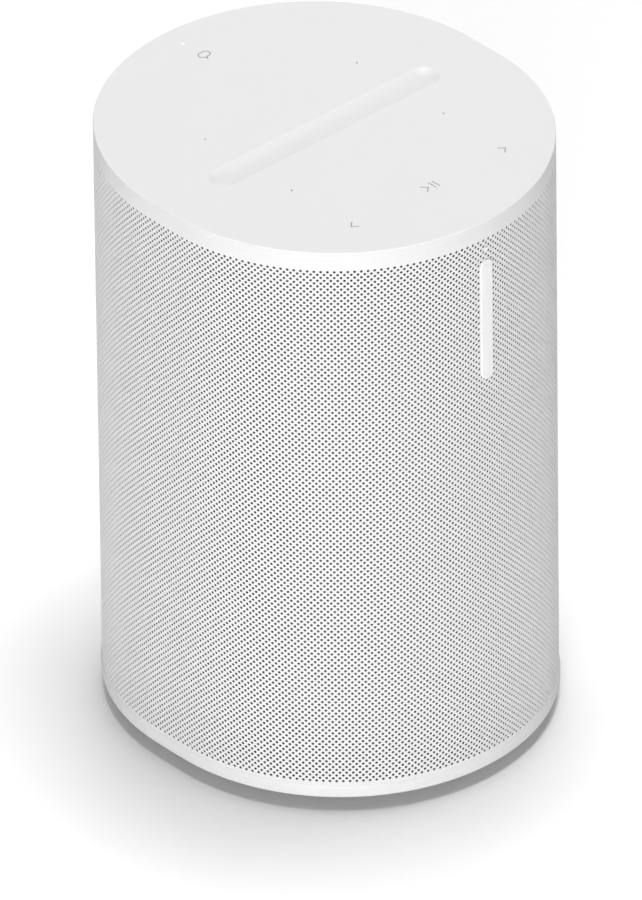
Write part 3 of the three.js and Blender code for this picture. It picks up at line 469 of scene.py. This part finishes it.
# The record's material slots.
LOOKS = {
    "shell_white": moulded("shell_white", WHITE, 0.5, 0.22, 0.003, 12, 0.008),
    "cover_white": moulded("cover_white", WHITE, 0.55, 0.16, 0.003, 18, 0.006),
    "control_white": moulded("control_white", (0.76, 0.76, 0.755), 0.45, 0.25, 0.004),
    "badge_white": moulded("badge_white", (0.72, 0.72, 0.72), 0.32, 0.6, 0.004, 6),
    "light_lens": moulded(
        "light_lens", (0.62, 0.62, 0.62), 0.3, 0.5, 0.002,
        Emission_Color=(1, 1, 1, 1), Emission_Strength=0.16,
    ),
    "cloth_black": woven("cloth_black", (0.010, 0.010, 0.011), 0.35, 0.05),
    "inner_plastic": moulded("inner_plastic", (0.035, 0.035, 0.038), 0.55, 0.35, 0.02, 14, 0.12),
    "rubber": moulded("rubber", (0.022, 0.022, 0.022), 0.75, 0.4, 0.012, 6, 0.2),
    "foot_rubber": moulded("foot_rubber", (0.075, 0.075, 0.078), 0.82, 0.3, 0.02, 8, 0.12),
    "cone_paper": fibrous("cone_paper", (0.022, 0.022, 0.024), 0.8),
    "coil_copper": ridged(
        "coil_copper", (0.80, 0.42, 0.20), (0.30, 0.12, 0.05), 0.3, "Y", 0.06, 0.35, Metallic=1.0
    ),
    "spider_cloth": woven("spider_cloth", (0.50, 0.31, 0.12), 0.6, 0.1, 0.85),
    "steel": brushed("steel", (0.58, 0.59, 0.60), 0.32, "X"),
    "ferrite": moulded("ferrite", (0.055, 0.055, 0.058), 0.62, 0.3, 0.03, 5, 0.25),
    "dome_silk": woven("dome_silk", (0.045, 0.045, 0.05), 0.25, 0.03, 0.7, Sheen_Weight=0.3),
    "circuit_board": printed_board("circuit_board"),
    "chip_black": moulded("chip_black", (0.018, 0.018, 0.02), 0.42, 0.15, 0.006, 3, 0.2),
    "socket_black": moulded("socket_black", (0.02, 0.02, 0.021), 0.5, 0.3, 0.01, 5, 0.15),
    "aluminium": brushed("aluminium", (0.74, 0.75, 0.76), 0.35, "Z"),
    "flat_cable": ridged("flat_cable", (0.74, 0.72, 0.66), (0.42, 0.33, 0.18), 1.0, "X", 0.04, 0.35),
    "winding_tape": ridged("winding_tape", (0.80, 0.58, 0.08), (0.55, 0.36, 0.04), 4.0, "Z", 0.08, 0.4),
    "capacitor_sleeve": ridged(
        "capacitor_sleeve", (0.02, 0.05, 0.16), (0.012, 0.03, 0.10), 9.0, "Z", 0.02, 0.3
    ),
    "brass": brushed("brass", (0.76, 0.56, 0.24), 0.28, "Y"),
}
PRINT_GREY = moulded("touch_print_grey", (0.28, 0.28, 0.29), 0.6, 0.3, 0.002, 2)

for part in frame["record"]["subparts"]:
    for holder in frame["nodes"][part["node"]].material_slots:
        holder.material = LOOKS[part["material_slot"]]


def piece(name, made, slot, body="housing", stands_for=(), material=None, sharp=SHARP):
    """A new visible piece from points and polygons: its finish, its body and the CAD node it stands for."""
    points, polygons, *uvs = made
    obj = mesh_object(name, points, polygons, material or LOOKS[slot], uvs[0] if uvs else None, sharp)
    if stands_for:
        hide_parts(*stands_for)
    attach(obj, body)
    return obj


# ---------------------------------------------------------------- perforated wrap


def in_window(along, height, margin):
    """True where a point of the wrap is in the rear panel's window or the inlet's notch, grown by margin."""
    turn = (along - ROUND / 2) / END_RADIUS
    if abs(turn) > QUARTER / 2:
        return False
    x = END_RADIUS * math.sin(turn)
    if pill_distance(x, height, (0, PANEL_MIDDLE), 0, PANEL_STRAIGHT) < PANEL_RADIUS + margin:
        return True
    return abs(x) < INLET_HIGH.x + margin and height < INLET_HIGH.z + margin


def grille_section(first, last):
    """The part of the wrap whose holes are in half columns first to last, as one closed solid."""
    wide = last - first + 2
    column = np.arange(first - 1, last + 1)
    # The grid's levels: one above the holes, the rows of holes, one below them, then the wrap's two edges.
    heights = [FIRST_ROW_Z - row * ROW_STEP for row in range(-1, ROWS + 1)]
    heights += [PLATE_BOTTOM - HAIRLINE, BASE_HIGH.z + HAIRLINE]
    top_edge, low_edge = ROWS + 1, ROWS + 2
    along = np.tile(column * COLUMN_STEP, len(heights))
    height = np.repeat(heights, wide)

    def corner(a, b):
        return (np.asarray(b) + 1) * wide + np.asarray(a) - (first - 1)

    a, b = np.meshgrid(np.arange(first, last), np.arange(ROWS), indexing="ij")
    odd = (a + b) % 2 == 1
    a, b = a[odd], b[odd]
    spots = [(x * COLUMN_STEP, FIRST_ROW_Z - y * ROW_STEP) for x, y in zip(a, b)]
    plain = np.array([in_window(x, z, PLAIN_MARGIN) for x, z in spots])
    radius = np.full(len(a), HOLE_RADIUS)
    status_row = (FIRST_ROW_Z - STATUS_Z) / ROW_STEP
    lens = (a % HALF_COLUMNS == 0) & (np.abs(b - status_row) < 0.5)
    radius[lens] = STATUS_RADIUS + STATUS_GAP
    corners = np.stack([corner(a + 1, b), corner(a, b - 1), corner(a - 1, b), corner(a, b + 1)], axis=1)
    holed = ~plain
    start = len(along)
    count = int(holed.sum())
    angle = np.arange(HOLE_SIDES) * 2 * math.pi / HOLE_SIDES
    radius = radius[holed][:, None]
    hole_along = (a[holed] * COLUMN_STEP)[:, None] + radius * np.cos(angle)
    hole_z = (FIRST_ROW_Z - b[holed] * ROW_STEP)[:, None] + radius * np.sin(angle)
    rim = start + np.arange(count * HOLE_SIDES).reshape(count, HOLE_SIDES)
    around = corners[holed]
    triangles = [corners[plain][:, [0, 1, 2]], corners[plain][:, [0, 2, 3]]]
    for q in range(4):
        one, other = around[:, q], around[:, (q + 1) % 4]
        near, mid, far = rim[:, 2 * q], rim[:, 2 * q + 1], rim[:, (2 * q + 2) % HOLE_SIDES]
        triangles += [np.column_stack(t) for t in ((one, other, mid), (one, mid, near), (other, far, mid))]

    c = np.arange(first, last)
    top, low = c[c % 2 == 0], c[c % 2 == 1]
    triangles.append(np.column_stack((corner(top, 0), corner(top + 1, -1), corner(top - 1, -1))))
    triangles.append(
        np.column_stack((corner(low, ROWS - 1), corner(low - 1, ROWS), corner(low + 1, ROWS)))
    )
    quads = [
        (corner(top - 1, -1), corner(top + 1, -1), corner(top + 1, top_edge), corner(top - 1, top_edge)),
        (corner(low - 1, low_edge), corner(low + 1, low_edge), corner(low + 1, ROWS), corner(low - 1, ROWS)),
    ]
    along = np.concatenate((along, hole_along.ravel()))
    height = np.concatenate((height, hole_z.ravel()))
    polygons = [np.vstack(triangles), np.vstack([np.column_stack(q) for q in quads])]
    front, back = np.zeros(len(along)), np.full(len(along), GRILLE_WALL)
    return solid_sheet(along, (front, height), (back, height), polygons)


def cutter(name, outline, near, far):
    """A closed prism along Y from an outline in X and Z."""
    x, z = outline.T
    rings = [np.column_stack((x, np.full(len(x), y), z)) for y in (far, near)]
    return mesh_object(name, *loft(rings, capped=True), LOOKS["shell_white"])


def cut(obj, *cutters):
    """Takes the cutters out of a piece for good, and removes them."""
    for tool in cutters:
        step = obj.modifiers.new("cut", "BOOLEAN")
        step.operation = "DIFFERENCE"
        step.solver = "MANIFOLD"
        step.object = tool
    bpy.context.view_layer.update()
    result = obj.evaluated_get(bpy.context.evaluated_depsgraph_get())
    made = bpy.data.meshes.new_from_object(result)
    old = obj.data
    obj.modifiers.clear()
    obj.data = made
    made.set_sharp_from_angle(angle=math.radians(SHARP))
    bpy.data.meshes.remove(old)
    for tool in cutters:
        bpy.data.objects.remove(tool)


def rear_cutters():
    """The rear panel's window and the inlet's notch, which is open downwards."""
    half, top = INLET_HIGH.x + NOTCH_GAP, INLET_HIGH.z + NOTCH_GAP
    window = pill(0, PANEL_STRAIGHT, PANEL_RADIUS + WINDOW_GAP, 24) + (0, PANEL_MIDDLE)
    notch = pill(half - NOTCH_CORNER, top / 2, NOTCH_CORNER, 6) + (0, top / 2 - NOTCH_CORNER)
    return cutter("window", window, CUT_NEAR, CUT_FAR), cutter("notch", notch, CUT_NEAR, CUT_FAR)


for number in range(SECTIONS):
    first = FIRST_COLUMN + number * SECTION_COLUMNS
    made = grille_section(first, first + SECTION_COLUMNS)
    section = piece(f"grille_section_{number + 1:02d}", made, "shell_white", stands_for=["grille_shell"])
    if number == REAR_SECTION:
        cut(section, *rear_cutters())


# ---------------------------------------------------------------- dark liner behind the holes


def liner():
    """A closed oval tube of square section."""
    count = HALF_COLUMNS
    here = np.arange(count)
    low, high = BASE_HIGH.z + 0.1, COVER_LOW.z + 1.6
    corners = ((LINER_INNER, low), (LINER_OUTER, low), (LINER_OUTER, high), (LINER_INNER, high))
    points = np.vstack([place(here * COLUMN_STEP, inset, z) for inset, z in corners])
    ahead = np.roll(here, -1)
    polygons = []
    for i in range(4):
        one, other = i * count, ((i + 1) % 4) * count
        polygons.append(np.column_stack((one + here, one + ahead, other + ahead, other + here)))
    return points, polygons


cloth = piece("cloth_liner", liner(), "cloth_black", stands_for=["acoustic_cloth"])
light_hole = pill(0, 0, STATUS_RADIUS + 0.05, 4) + (0, STATUS_Z)
cut(cloth, *rear_cutters(), cutter("light", light_hole, -CUT_FAR, -CUT_NEAR))

# ---------------------------------------------------------------- top cover

GROOVE_HALF_LENGTH = 41.3
GROOVE_HALF_WIDTH = 4.5
GROOVE_DEPTH = 1.2
GROOVE_RADIUS = (GROOVE_HALF_WIDTH**2 + GROOVE_DEPTH**2) / (2 * GROOVE_DEPTH)
GROOVE_LIP = 0.9
GROOVE_SPINE = GROOVE_HALF_LENGTH - GROOVE_HALF_WIDTH
MIC_X = 28
MIC_Y = 17.5
MIC_RADIUS = 0.28
MICS = [(x, y) for x in (-MIC_X, MIC_X) for y in (-MIC_Y, MIC_Y)]
LIGHT_PLACE = ((LIGHT_LOW.x + LIGHT_HIGH.x) / 2, (LIGHT_LOW.y + LIGHT_HIGH.y) / 2)
LIGHT_HOLE = (LIGHT_HIGH.x - LIGHT_LOW.x) / 2 + 0.05
RIM_FILLET = 0.32
FLAT_MARGIN = 0.2
SKIRT_OUTER = 2.1
SKIRT_INNER = 3.9


def groove_profile():
    """Distance from the groove's spine, and depth, from the flat inwards: a rounded lip, then the hollow."""
    lip_centre = math.sqrt(GROOVE_DEPTH * (2 * GROOVE_RADIUS + 2 * GROOVE_LIP - GROOVE_DEPTH))
    turn = math.asin(lip_centre / (GROOVE_RADIUS + GROOVE_LIP))
    found = [(lip_centre + FLAT_MARGIN, 0.0)]
    for i in range(6):
        angle = i / 5 * turn
        depth = GROOVE_LIP * (1 - math.cos(angle))
        found.append((lip_centre - GROOVE_LIP * math.sin(angle), depth))
    for i in range(1, 10):
        angle = turn * (1 - i / 10)
        depth = GROOVE_DEPTH - GROOVE_RADIUS * (1 - math.cos(angle))
        found.append((GROOVE_RADIUS * math.sin(angle), depth))
    return found


def joined(*shapes):
    """Several shapes' points and polygons as one."""
    points, polygons = [], []
    start = 0
    for p, faces in shapes:
        points.append(p)
        polygons += [np.asarray(f) + start for f in faces]
        start += len(p)
    return np.vstack(points), polygons


def cover():
    """The top plate: rounded rim, flat top with groove and holes, and the skirt that goes into the wrap."""
    along = np.arange(HALF_COLUMNS) * COLUMN_STEP
    rim = [(SKIRT_INNER, PLATE_BOTTOM), (SKIRT_INNER, COVER_LOW.z), (SKIRT_OUTER, COVER_LOW.z)]
    rim += [(SKIRT_OUTER, PLATE_BOTTOM), (0.01, PLATE_BOTTOM), (0, PLATE_BOTTOM + 0.01)]
    for i in range(7):
        angle = i / 6 * QUARTER
        rim.append((RIM_FILLET * (1 - math.cos(angle)), TOP - RIM_FILLET * (1 - math.sin(angle))))
    rim.append((RIM_FILLET + FLAT_MARGIN, TOP))
    shapes = [loft([place(along, inset, z) for inset, z in rim])]

    groove = groove_profile()
    around = [pill(GROOVE_SPINE, 0, r, 20) for r, _ in groove]
    rings = [flat_ring(ring, TOP - depth) for ring, (_, depth) in zip(around, groove)]
    points, faces = loft(rings)
    floor = len(rings[0]) * (len(rings) - 1) + np.arange(len(rings[0]))
    shapes.append((points, [*faces, floor[None, :]]))

    circles = [pill(0, 0, MIC_RADIUS, 4) + p for p in MICS] + [pill(0, 0, LIGHT_HOLE, 5) + LIGHT_PLACE]
    shapes += [loft([flat_ring(circle, z) for z in (TOP, PLATE_BOTTOM)]) for circle in circles]
    holes = [(x, y, MIC_RADIUS) for x, y in MICS] + [(*LIGHT_PLACE, LIGHT_HOLE)]

    def off_holes(x, y):
        return all(math.hypot(x - cx, y - cy) > r * 0.95 for cx, cy, r in holes)

    def on_top(x, y):
        return off_holes(x, y) and pill_distance(x, y, (0, 0), GROOVE_SPINE, 0) > groove[0][0] * 0.999

    edge = place(along, RIM_FILLET + FLAT_MARGIN, TOP)[:, :2]
    flat, triangles = filled([edge, around[0], *circles], on_top)
    shapes.append((flat_ring(flat, TOP), [triangles]))
    edge = place(along, SKIRT_INNER, PLATE_BOTTOM)[:, :2]
    flat, triangles = filled([edge, *circles], off_holes)
    shapes.append((flat_ring(flat, PLATE_BOTTOM), [triangles[:, ::-1]]))
    return joined(*shapes)


def welded(points, polygons):
    """The same mesh with points that coincide made one."""
    keys = np.round(np.asarray(points) * 1e4).astype(np.int64)
    _, first, inverse = np.unique(keys, axis=0, return_index=True, return_inverse=True)
    inverse = inverse.ravel()
    return np.asarray(points)[first], [inverse[np.asarray(p)] for p in polygons]


piece("top_plate", welded(*cover()), "cover_white", stands_for=["top_cover"], sharp=30)

# ---------------------------------------------------------------- base


RING_RELIEF = BASE_HIGH.x - HALF_WIDTH
RING_WALL = 1.8
RING_FILLET = 1.1
RING_BREAK = 0.1
# The slope on the ring's upper edge, from its outermost line inwards: inset and depth below the top.
RING_SLOPE = [(-RING_RELIEF, 1.1), (0.03 - RING_RELIEF, 0.85), (0.1 - RING_RELIEF, 0.6), (-0.01, 0)]
PLATE_LOW = BASE_LOW.z + 0.8
PLATE_HIGH = BASE_HIGH.z - 0.6
HEAD_RADIUS = 3.3
HEAD_TOP = PLATE_LOW + 1.9
SHANK_RADIUS = 1.7


def base():
    """The bottom plate and the ring round it, with rounded outer edges, as one solid of oval section."""
    along = np.arange(HALF_COLUMNS) * COLUMN_STEP
    low, high = BASE_LOW.z, BASE_HIGH.z
    profile = [(RING_WALL, PLATE_LOW), (RING_WALL, low + RING_BREAK), (RING_WALL - RING_BREAK, low)]
    for i in range(7):
        angle = i / 6 * QUARTER
        inset = RING_FILLET * (1 - math.sin(angle)) - RING_RELIEF
        profile.append((inset, low + RING_FILLET * (1 - math.cos(angle))))
    profile += [(inset, high - depth) for inset, depth in RING_SLOPE]
    profile += [(RING_WALL - RING_BREAK, high), (RING_WALL, high - RING_BREAK), (RING_WALL, PLATE_HIGH)]
    return loft([place(along, inset, z) for inset, z in profile], capped=True)


base_shell = piece("base_shell", base(), "cover_white", stands_for=["base_plate"])
wells = []
for spot in BASE_SCREWS:
    for radius, top in ((HEAD_RADIUS, HEAD_TOP), (SHANK_RADIUS, PLATE_HIGH + 1)):
        circle = pill(0, 0, radius, 8) + tuple(spot)
        rings = [flat_ring(circle, z) for z in (PLATE_LOW - 5, top)]
        wells.append(mesh_object("well", *loft(rings, capped=True), LOOKS["cover_white"]))
cut(base_shell, *wells)

# ---------------------------------------------------------------- printed touch marks

PRINT_THICKNESS = 0.02
STROKE = 0.34
MARK_X = 27.7
MARK_Y = -41.9
BAR_HALF = 1.6
CHEVRON_HALF = 1.5
CHEVRON_DEPTH = 1.7


def stroke(points, width, low, closed=False):
    """A printed line of one width through flat points, as a thin closed solid."""
    points = np.array(points, float)
    count = len(points)
    sides = []
    for i in range(count):
        before = points[i] - points[i - 1] if closed or i > 0 else points[i + 1] - points[i]
        after = points[(i + 1) % count] - points[i] if closed or i < count - 1 else before
        before = before / np.linalg.norm(before)
        after = after / np.linalg.norm(after)
        normal = np.array([-(before + after)[1], (before + after)[0]])
        normal /= np.linalg.norm(normal)
        across = np.array([-after[1], after[0]])
        sides.append(normal * width / 2 / max(0.3, normal @ across))
    sides = np.array(sides)
    left, right = points + sides, points - sides
    high = low + PRINT_THICKNESS
    corners = ((right, low), (right, high), (left, high), (left, low))
    stack = np.vstack([flat_ring(p, z) for p, z in corners])
    faces = []
    spans = count if closed else count - 1
    for i in range(spans):
        j = (i + 1) % count
        for k in range(4):
            m = (k + 1) % 4
            faces.append((k * count + i, k * count + j, m * count + j, m * count + i))
    if not closed:
        faces.append((3 * count, 2 * count, count, 0))
        e = count - 1
        faces.append((e, count + e, 2 * count + e, 3 * count + e))
    return stack, [np.array(faces)]


def chevron(x, y, way):
    back, apex = x - way * CHEVRON_DEPTH / 2, x + way * CHEVRON_DEPTH / 2
    return [(back, y + CHEVRON_HALF), (apex, y), (back, y - CHEVRON_HALF)]


def bar(x, y):
    return [(x, y - BAR_HALF), (x, y + BAR_HALF)]


def bubble(x, y, width, height):
    """A rounded speech outline with a small tail under its left part."""
    ring = pill(width / 2 - height / 2, 0, height / 2, 8) + (x, y)
    ring = [tuple(p) for p in ring]
    tail = (x - width / 6, y - height / 2 - 0.8)
    last_left = max(i for i, p in enumerate(ring) if p[0] < x - 0.1)
    return ring[: last_left + 1] + [tail, (x + 0.1, y - height / 2)] + ring[last_left + 1 :]


marks = {
    "touch_mark_next": [(chevron(MARK_X, MARK_Y, 1), False)],
    "touch_mark_previous": [(chevron(-MARK_X, MARK_Y, -1), False)],
    "touch_mark_play": [
        (chevron(-0.9, MARK_Y, 1), False),
        (bar(1.5, MARK_Y), False),
        (bar(2.75, MARK_Y), False),
    ],
    "touch_mark_voice": [(bubble(0.5, 49.3, 3.6, 2.5), True)],
}
for name, lines in marks.items():
    made = joined(*(stroke(points, STROKE, TOP, closed) for points, closed in lines))
    piece(name, made, None, material=PRINT_GREY)

# ---------------------------------------------------------------- badge bar

BADGE_HALF = BADGE_HIGH.x
BADGE_MIDDLE = (BADGE_LOW.z + BADGE_HIGH.z) / 2
BADGE_SPINE = (BADGE_HIGH.z - BADGE_LOW.z) / 2 - BADGE_HALF
BADGE_RELIEF = -HALF_DEPTH - BADGE_LOW.y
BADGE_ROUND = 0.3
BADGE_FLAT = 0.15


def badge():
    """A raised bar with rounded edges that follows the oval. Its ends are closed by faces across it."""
    rings = []
    levels = [(0.0, 0.01), (0.0, BADGE_RELIEF - BADGE_ROUND)]
    for i in range(1, 5):
        angle = i / 4 * QUARTER
        height = BADGE_RELIEF - BADGE_ROUND * (1 - math.sin(angle))
        levels.append((BADGE_ROUND * (1 - math.cos(angle)), height))
    levels.append((BADGE_ROUND + BADGE_FLAT, BADGE_RELIEF))
    for shrink, height in levels:
        outline = pill(0, BADGE_SPINE, BADGE_HALF - shrink, 10) + (0, BADGE_MIDDLE)
        rings.append(place(outline[:, 0], -height, outline[:, 1]))
    points, polygons = loft(rings)
    count = len(rings[0])
    half = count // 2
    for start, flip in ((0, True), ((len(rings) - 1) * count, False)):
        for i in range(half - 1):
            j = count - 1 - i
            face = [start + i, start + i + 1, start + (j - 1), start + j]
            polygons.append(np.array([face[::-1] if flip else face]))
    return points, polygons


piece("badge_bar", badge(), "badge_white", stands_for=["front_badge"])

# ---------------------------------------------------------------- rear control panel

BUTTON_Z = (BUTTON_LOW.z + BUTTON_HIGH.z) / 2
USB_Z = (USB_LOW.z + USB_HIGH.z) / 2
SWITCH_Z = (SWITCH_LOW.z + SWITCH_HIGH.z) / 2
SLIDE = next(j for j in frame["joints"] if j["name"] == "microphone_switch_slide")
SWITCH_TRAVEL = SLIDE["range_m"][1] / MM
BUTTON_HOLE = 5.5
SLOT_RADIUS = 2.3
SLIDER_LENGTH = 6
SLOT_HALF = (SLIDER_LENGTH + SWITCH_TRAVEL + 0.6) / 2 - SLOT_RADIUS
SLOT_Z = SWITCH_Z + SWITCH_TRAVEL / 2
USB_RADIUS = 1.9
USB_HALF = 4.7 - USB_RADIUS
PANEL_WALL = 2.2
EDGE = 0.35
EDGE_REACH = EDGE + 0.15
# How the panel's edges are rounded: distance in from the edge, and depth there.
EDGE_STEPS = [(0.0, EDGE), (0.03, 0.2), (0.1, 0.1), (0.2, 0.03), (EDGE, 0.0), (EDGE_REACH, 0.0)]


def panel():
    """The panel in the window, its edges and the edges of its three openings rounded."""
    outlines = [
        ((0, PANEL_MIDDLE), 0, PANEL_STRAIGHT, PANEL_RADIUS, 20, -1),
        ((0, BUTTON_Z), 0, 0, BUTTON_HOLE, 12, 1),
        ((0, SLOT_Z), 0, SLOT_HALF, SLOT_RADIUS, 8, 1),
        ((0, USB_Z), USB_HALF, 0, USB_RADIUS, 8, 1),
    ]
    flat, inset, polygons, borders = [], [], [], []
    start = 0
    for centre, half_x, half_z, radius, detail, side in outlines:
        rings = [pill(half_x, half_z, radius + side * d, detail) + centre for d, _ in EDGE_STEPS]
        points, faces = loft(rings)
        if side > 0:
            faces = [f[:, ::-1] for f in faces]
        flat.append(points)
        inset.append(np.repeat([depth for _, depth in EDGE_STEPS], len(rings[0])))
        polygons += [f + start for f in faces]
        borders.append((rings[-1], start + len(points) - len(rings[-1])))
        start += len(points)

    def in_panel(x, z, radius):
        return pill_distance(x, z, (0, PANEL_MIDDLE), 0, PANEL_STRAIGHT) < radius

    def off_openings(x, z, margin, share=1):
        return all(
            pill_distance(x, z, c, hx, hz) > (r + EDGE_REACH + margin) * share
            for c, hx, hz, r, _, _ in outlines[1:]
        )

    grid = [(x, z) for x in np.arange(-12, 12.1, 1.5) for z in np.arange(PANEL_LOW.z + 1, PANEL_HIGH.z, 2.5)]
    inner = PANEL_RADIUS - EDGE_REACH - 0.4
    extra = np.array([p for p in grid if in_panel(*p, inner) and off_openings(*p, 0.4)])

    def on_panel(x, z):
        return in_panel(x, z, PANEL_RADIUS) and off_openings(x, z, 0, 0.985)

    _, triangles = filled([ring for ring, _ in borders], on_panel, extra)
    index = [first + np.arange(len(ring)) for ring, first in borders]
    index = np.concatenate([*index, start + np.arange(len(extra))])
    polygons.append(index[triangles])
    flat = np.vstack([*flat, extra])
    inset = np.concatenate([*inset, np.zeros(len(extra))])
    triangles = [p for p in polygons if p.shape[1] == 3]
    quads = np.vstack([p for p in polygons if p.shape[1] == 4])
    x, z = flat.T
    back = np.full(len(z), PANEL_WALL)
    return solid_sheet(rear_along(x), (inset, z), (back, z), [*triangles, quads])


piece("rear_panel", panel(), "shell_white", stands_for=["control_panel"])


def turned(profile, steps):
    """A solid turned about the Y axis from radius and y."""
    rings = []
    for radius, y in profile:
        angle = np.arange(steps) / steps * 2 * math.pi
        rings.append(np.column_stack((radius * np.cos(angle), np.full(steps, y), radius * np.sin(angle))))
    return loft(rings[::-1], capped=True)


BUTTON_RADIUS = 5.2
BUTTON_EDGE = 0.5
BUTTON_DISH = 0.3
COLLAR_THICKNESS = 1.2


def button():
    """A push button with a rounded edge and a shallow dish, and the collar that keeps it in."""
    front, back = BUTTON_HIGH.y, BUTTON_LOW.y
    collar_front = back + COLLAR_THICKNESS
    profile = [(BUTTON_HIGH.x, back), (BUTTON_HIGH.x, collar_front)]
    profile += [(BUTTON_RADIUS, collar_front), (BUTTON_RADIUS, front - BUTTON_EDGE)]
    for i in range(1, 5):
        angle = i / 4 * QUARTER
        radius = BUTTON_RADIUS - BUTTON_EDGE * (1 - math.cos(angle))
        profile.append((radius, front - BUTTON_EDGE * (1 - math.sin(angle))))
    dish = BUTTON_RADIUS - BUTTON_EDGE
    for i in range(1, 7):
        radius = dish * (1 - i / 6.5)
        profile.append((radius, front - BUTTON_DISH * (1 - (radius / dish) ** 2)))
    points, polygons = turned(profile, 48)
    return points + (0, 0, BUTTON_Z), polygons


piece("push_button", button(), "control_white", body="button", stands_for=["wireless_button"])

# ---------------------------------------------------------------- edges of the CAD pieces that show

ROUNDED = {"microphone_switch": 0.35, "usb_socket": 0.12, "power_inlet": 0.4, "foot_ring": 0.5}
for name, width in ROUNDED.items():
    node = frame["nodes"][name]
    weld = node.modifiers.new("weld", "WELD")
    weld.merge_threshold = 0.00001
    flatten = node.modifiers.new("flatten", "DECIMATE")
    flatten.decimate_type = "DISSOLVE"
    flatten.angle_limit = math.radians(1)
    bevel = node.modifiers.new("bevel", "BEVEL")
    bevel.width = width * MM
    bevel.segments = 3
    bevel.limit_method = "ANGLE"
    bevel.angle_limit = math.radians(40)

# ---------------------------------------------------------------- floor, light and camera

LIT_HEIGHT = 90
SENSOR = 36
PICTURE_HEIGHT = 900


def stage_floor():
    """A wide plain floor, just under the feet."""
    n = Nodes("floor_white")
    n.colour(n.blend(n.noise(300), (0.92, 0.92, 0.92), (0.94, 0.94, 0.94)))
    n.fixed(Roughness=0.8, Specular_IOR_Level=0.2)
    reach = 6000
    points = [(x * reach, y * reach, -0.1) for x, y in ((-1, -1), (1, -1), (1, 1), (-1, 1))]
    floor = mesh_object("floor", points, [[(0, 1, 2, 3)]], n.material)


def sky():
    """A pale studio: bright at the height of the horizon, dimmer above."""
    world = bpy.data.worlds.new("studio")
    bpy.context.scene.world = world
    world.use_nodes = True
    tree = world.node_tree
    background = next(n for n in tree.nodes if n.type == "BACKGROUND")
    coordinates = tree.nodes.new("ShaderNodeTexCoord")
    parts = tree.nodes.new("ShaderNodeSeparateXYZ")
    ramp = tree.nodes.new("ShaderNodeMapRange")
    tree.links.new(coordinates.outputs["Generated"], parts.inputs[0])
    tree.links.new(parts.outputs["Z"], ramp.inputs["Value"])
    ramp.inputs["From Min"].default_value = 0.04
    ramp.inputs["From Max"].default_value = 0.14
    ramp.inputs["To Min"].default_value = 0.95
    ramp.inputs["To Max"].default_value = 0.13
    tree.links.new(ramp.outputs["Result"], background.inputs["Strength"])
    background.inputs["Color"].default_value = (1, 1, 1, 1)


def towards(azimuth, elevation):
    """The direction from the object to a light or camera."""
    a, e = math.radians(azimuth), math.radians(elevation)
    return Vector((math.sin(a) * math.cos(e), -math.cos(a) * math.cos(e), math.sin(e)))


def lamp(name, azimuth, elevation, distance, size, power):
    """A square soft light that faces the object, distance and size in metres."""
    data = bpy.data.lights.new(name, "AREA")
    data.shape = "SQUARE"
    data.size = size
    data.energy = power
    made = bpy.data.objects.new(name, data)
    bpy.context.scene.collection.objects.link(made)
    back = towards(azimuth, elevation)
    made.location = Vector((0, 0, LIT_HEIGHT * MM)) + back * distance
    made.rotation_euler = back.to_track_quat("Z", "Y").to_euler()


def camera(azimuth, elevation, roll, distance, scale, slide, lift):
    """distance, slide and lift are in millimetres, scale in pixels of the picture to a millimetre."""
    a, t = math.radians(azimuth), math.radians(roll)
    back = towards(azimuth, elevation)
    right = Vector((math.cos(a), math.sin(a), 0))
    up = back.cross(right)
    middle = Vector((0, 0, (BASE_LOW.z + TOP) / 2 * MM))
    across = right * math.cos(t) + up * math.sin(t)
    upward = up * math.cos(t) - right * math.sin(t)
    data = bpy.data.cameras.new("camera")
    data.sensor_width = SENSOR
    data.lens = scale * distance * SENSOR / PICTURE_HEIGHT
    data.clip_end = 100
    made = bpy.data.objects.new("camera", data)
    bpy.context.scene.collection.objects.link(made)
    turn = Matrix((across, upward, back)).transposed().to_4x4()
    spot = middle + (back * distance + right * slide + up * lift) * MM
    made.matrix_world = Matrix.Translation(spot) @ turn
    bpy.context.scene.camera = made


stage_floor()
sky()
lamp("key", -48, 8, 2.2, 0.7, 39.5)
lamp("top", 105, 85, 2.0, 0.8, 36.5)
lamp("fill", 138, 20, 2.2, 1.6, 12)
camera(-42.06, 33.62, -0.68, 7000, 3.643, -1.95, -13.92)
bpy.context.scene.view_settings.view_transform = "Standard"
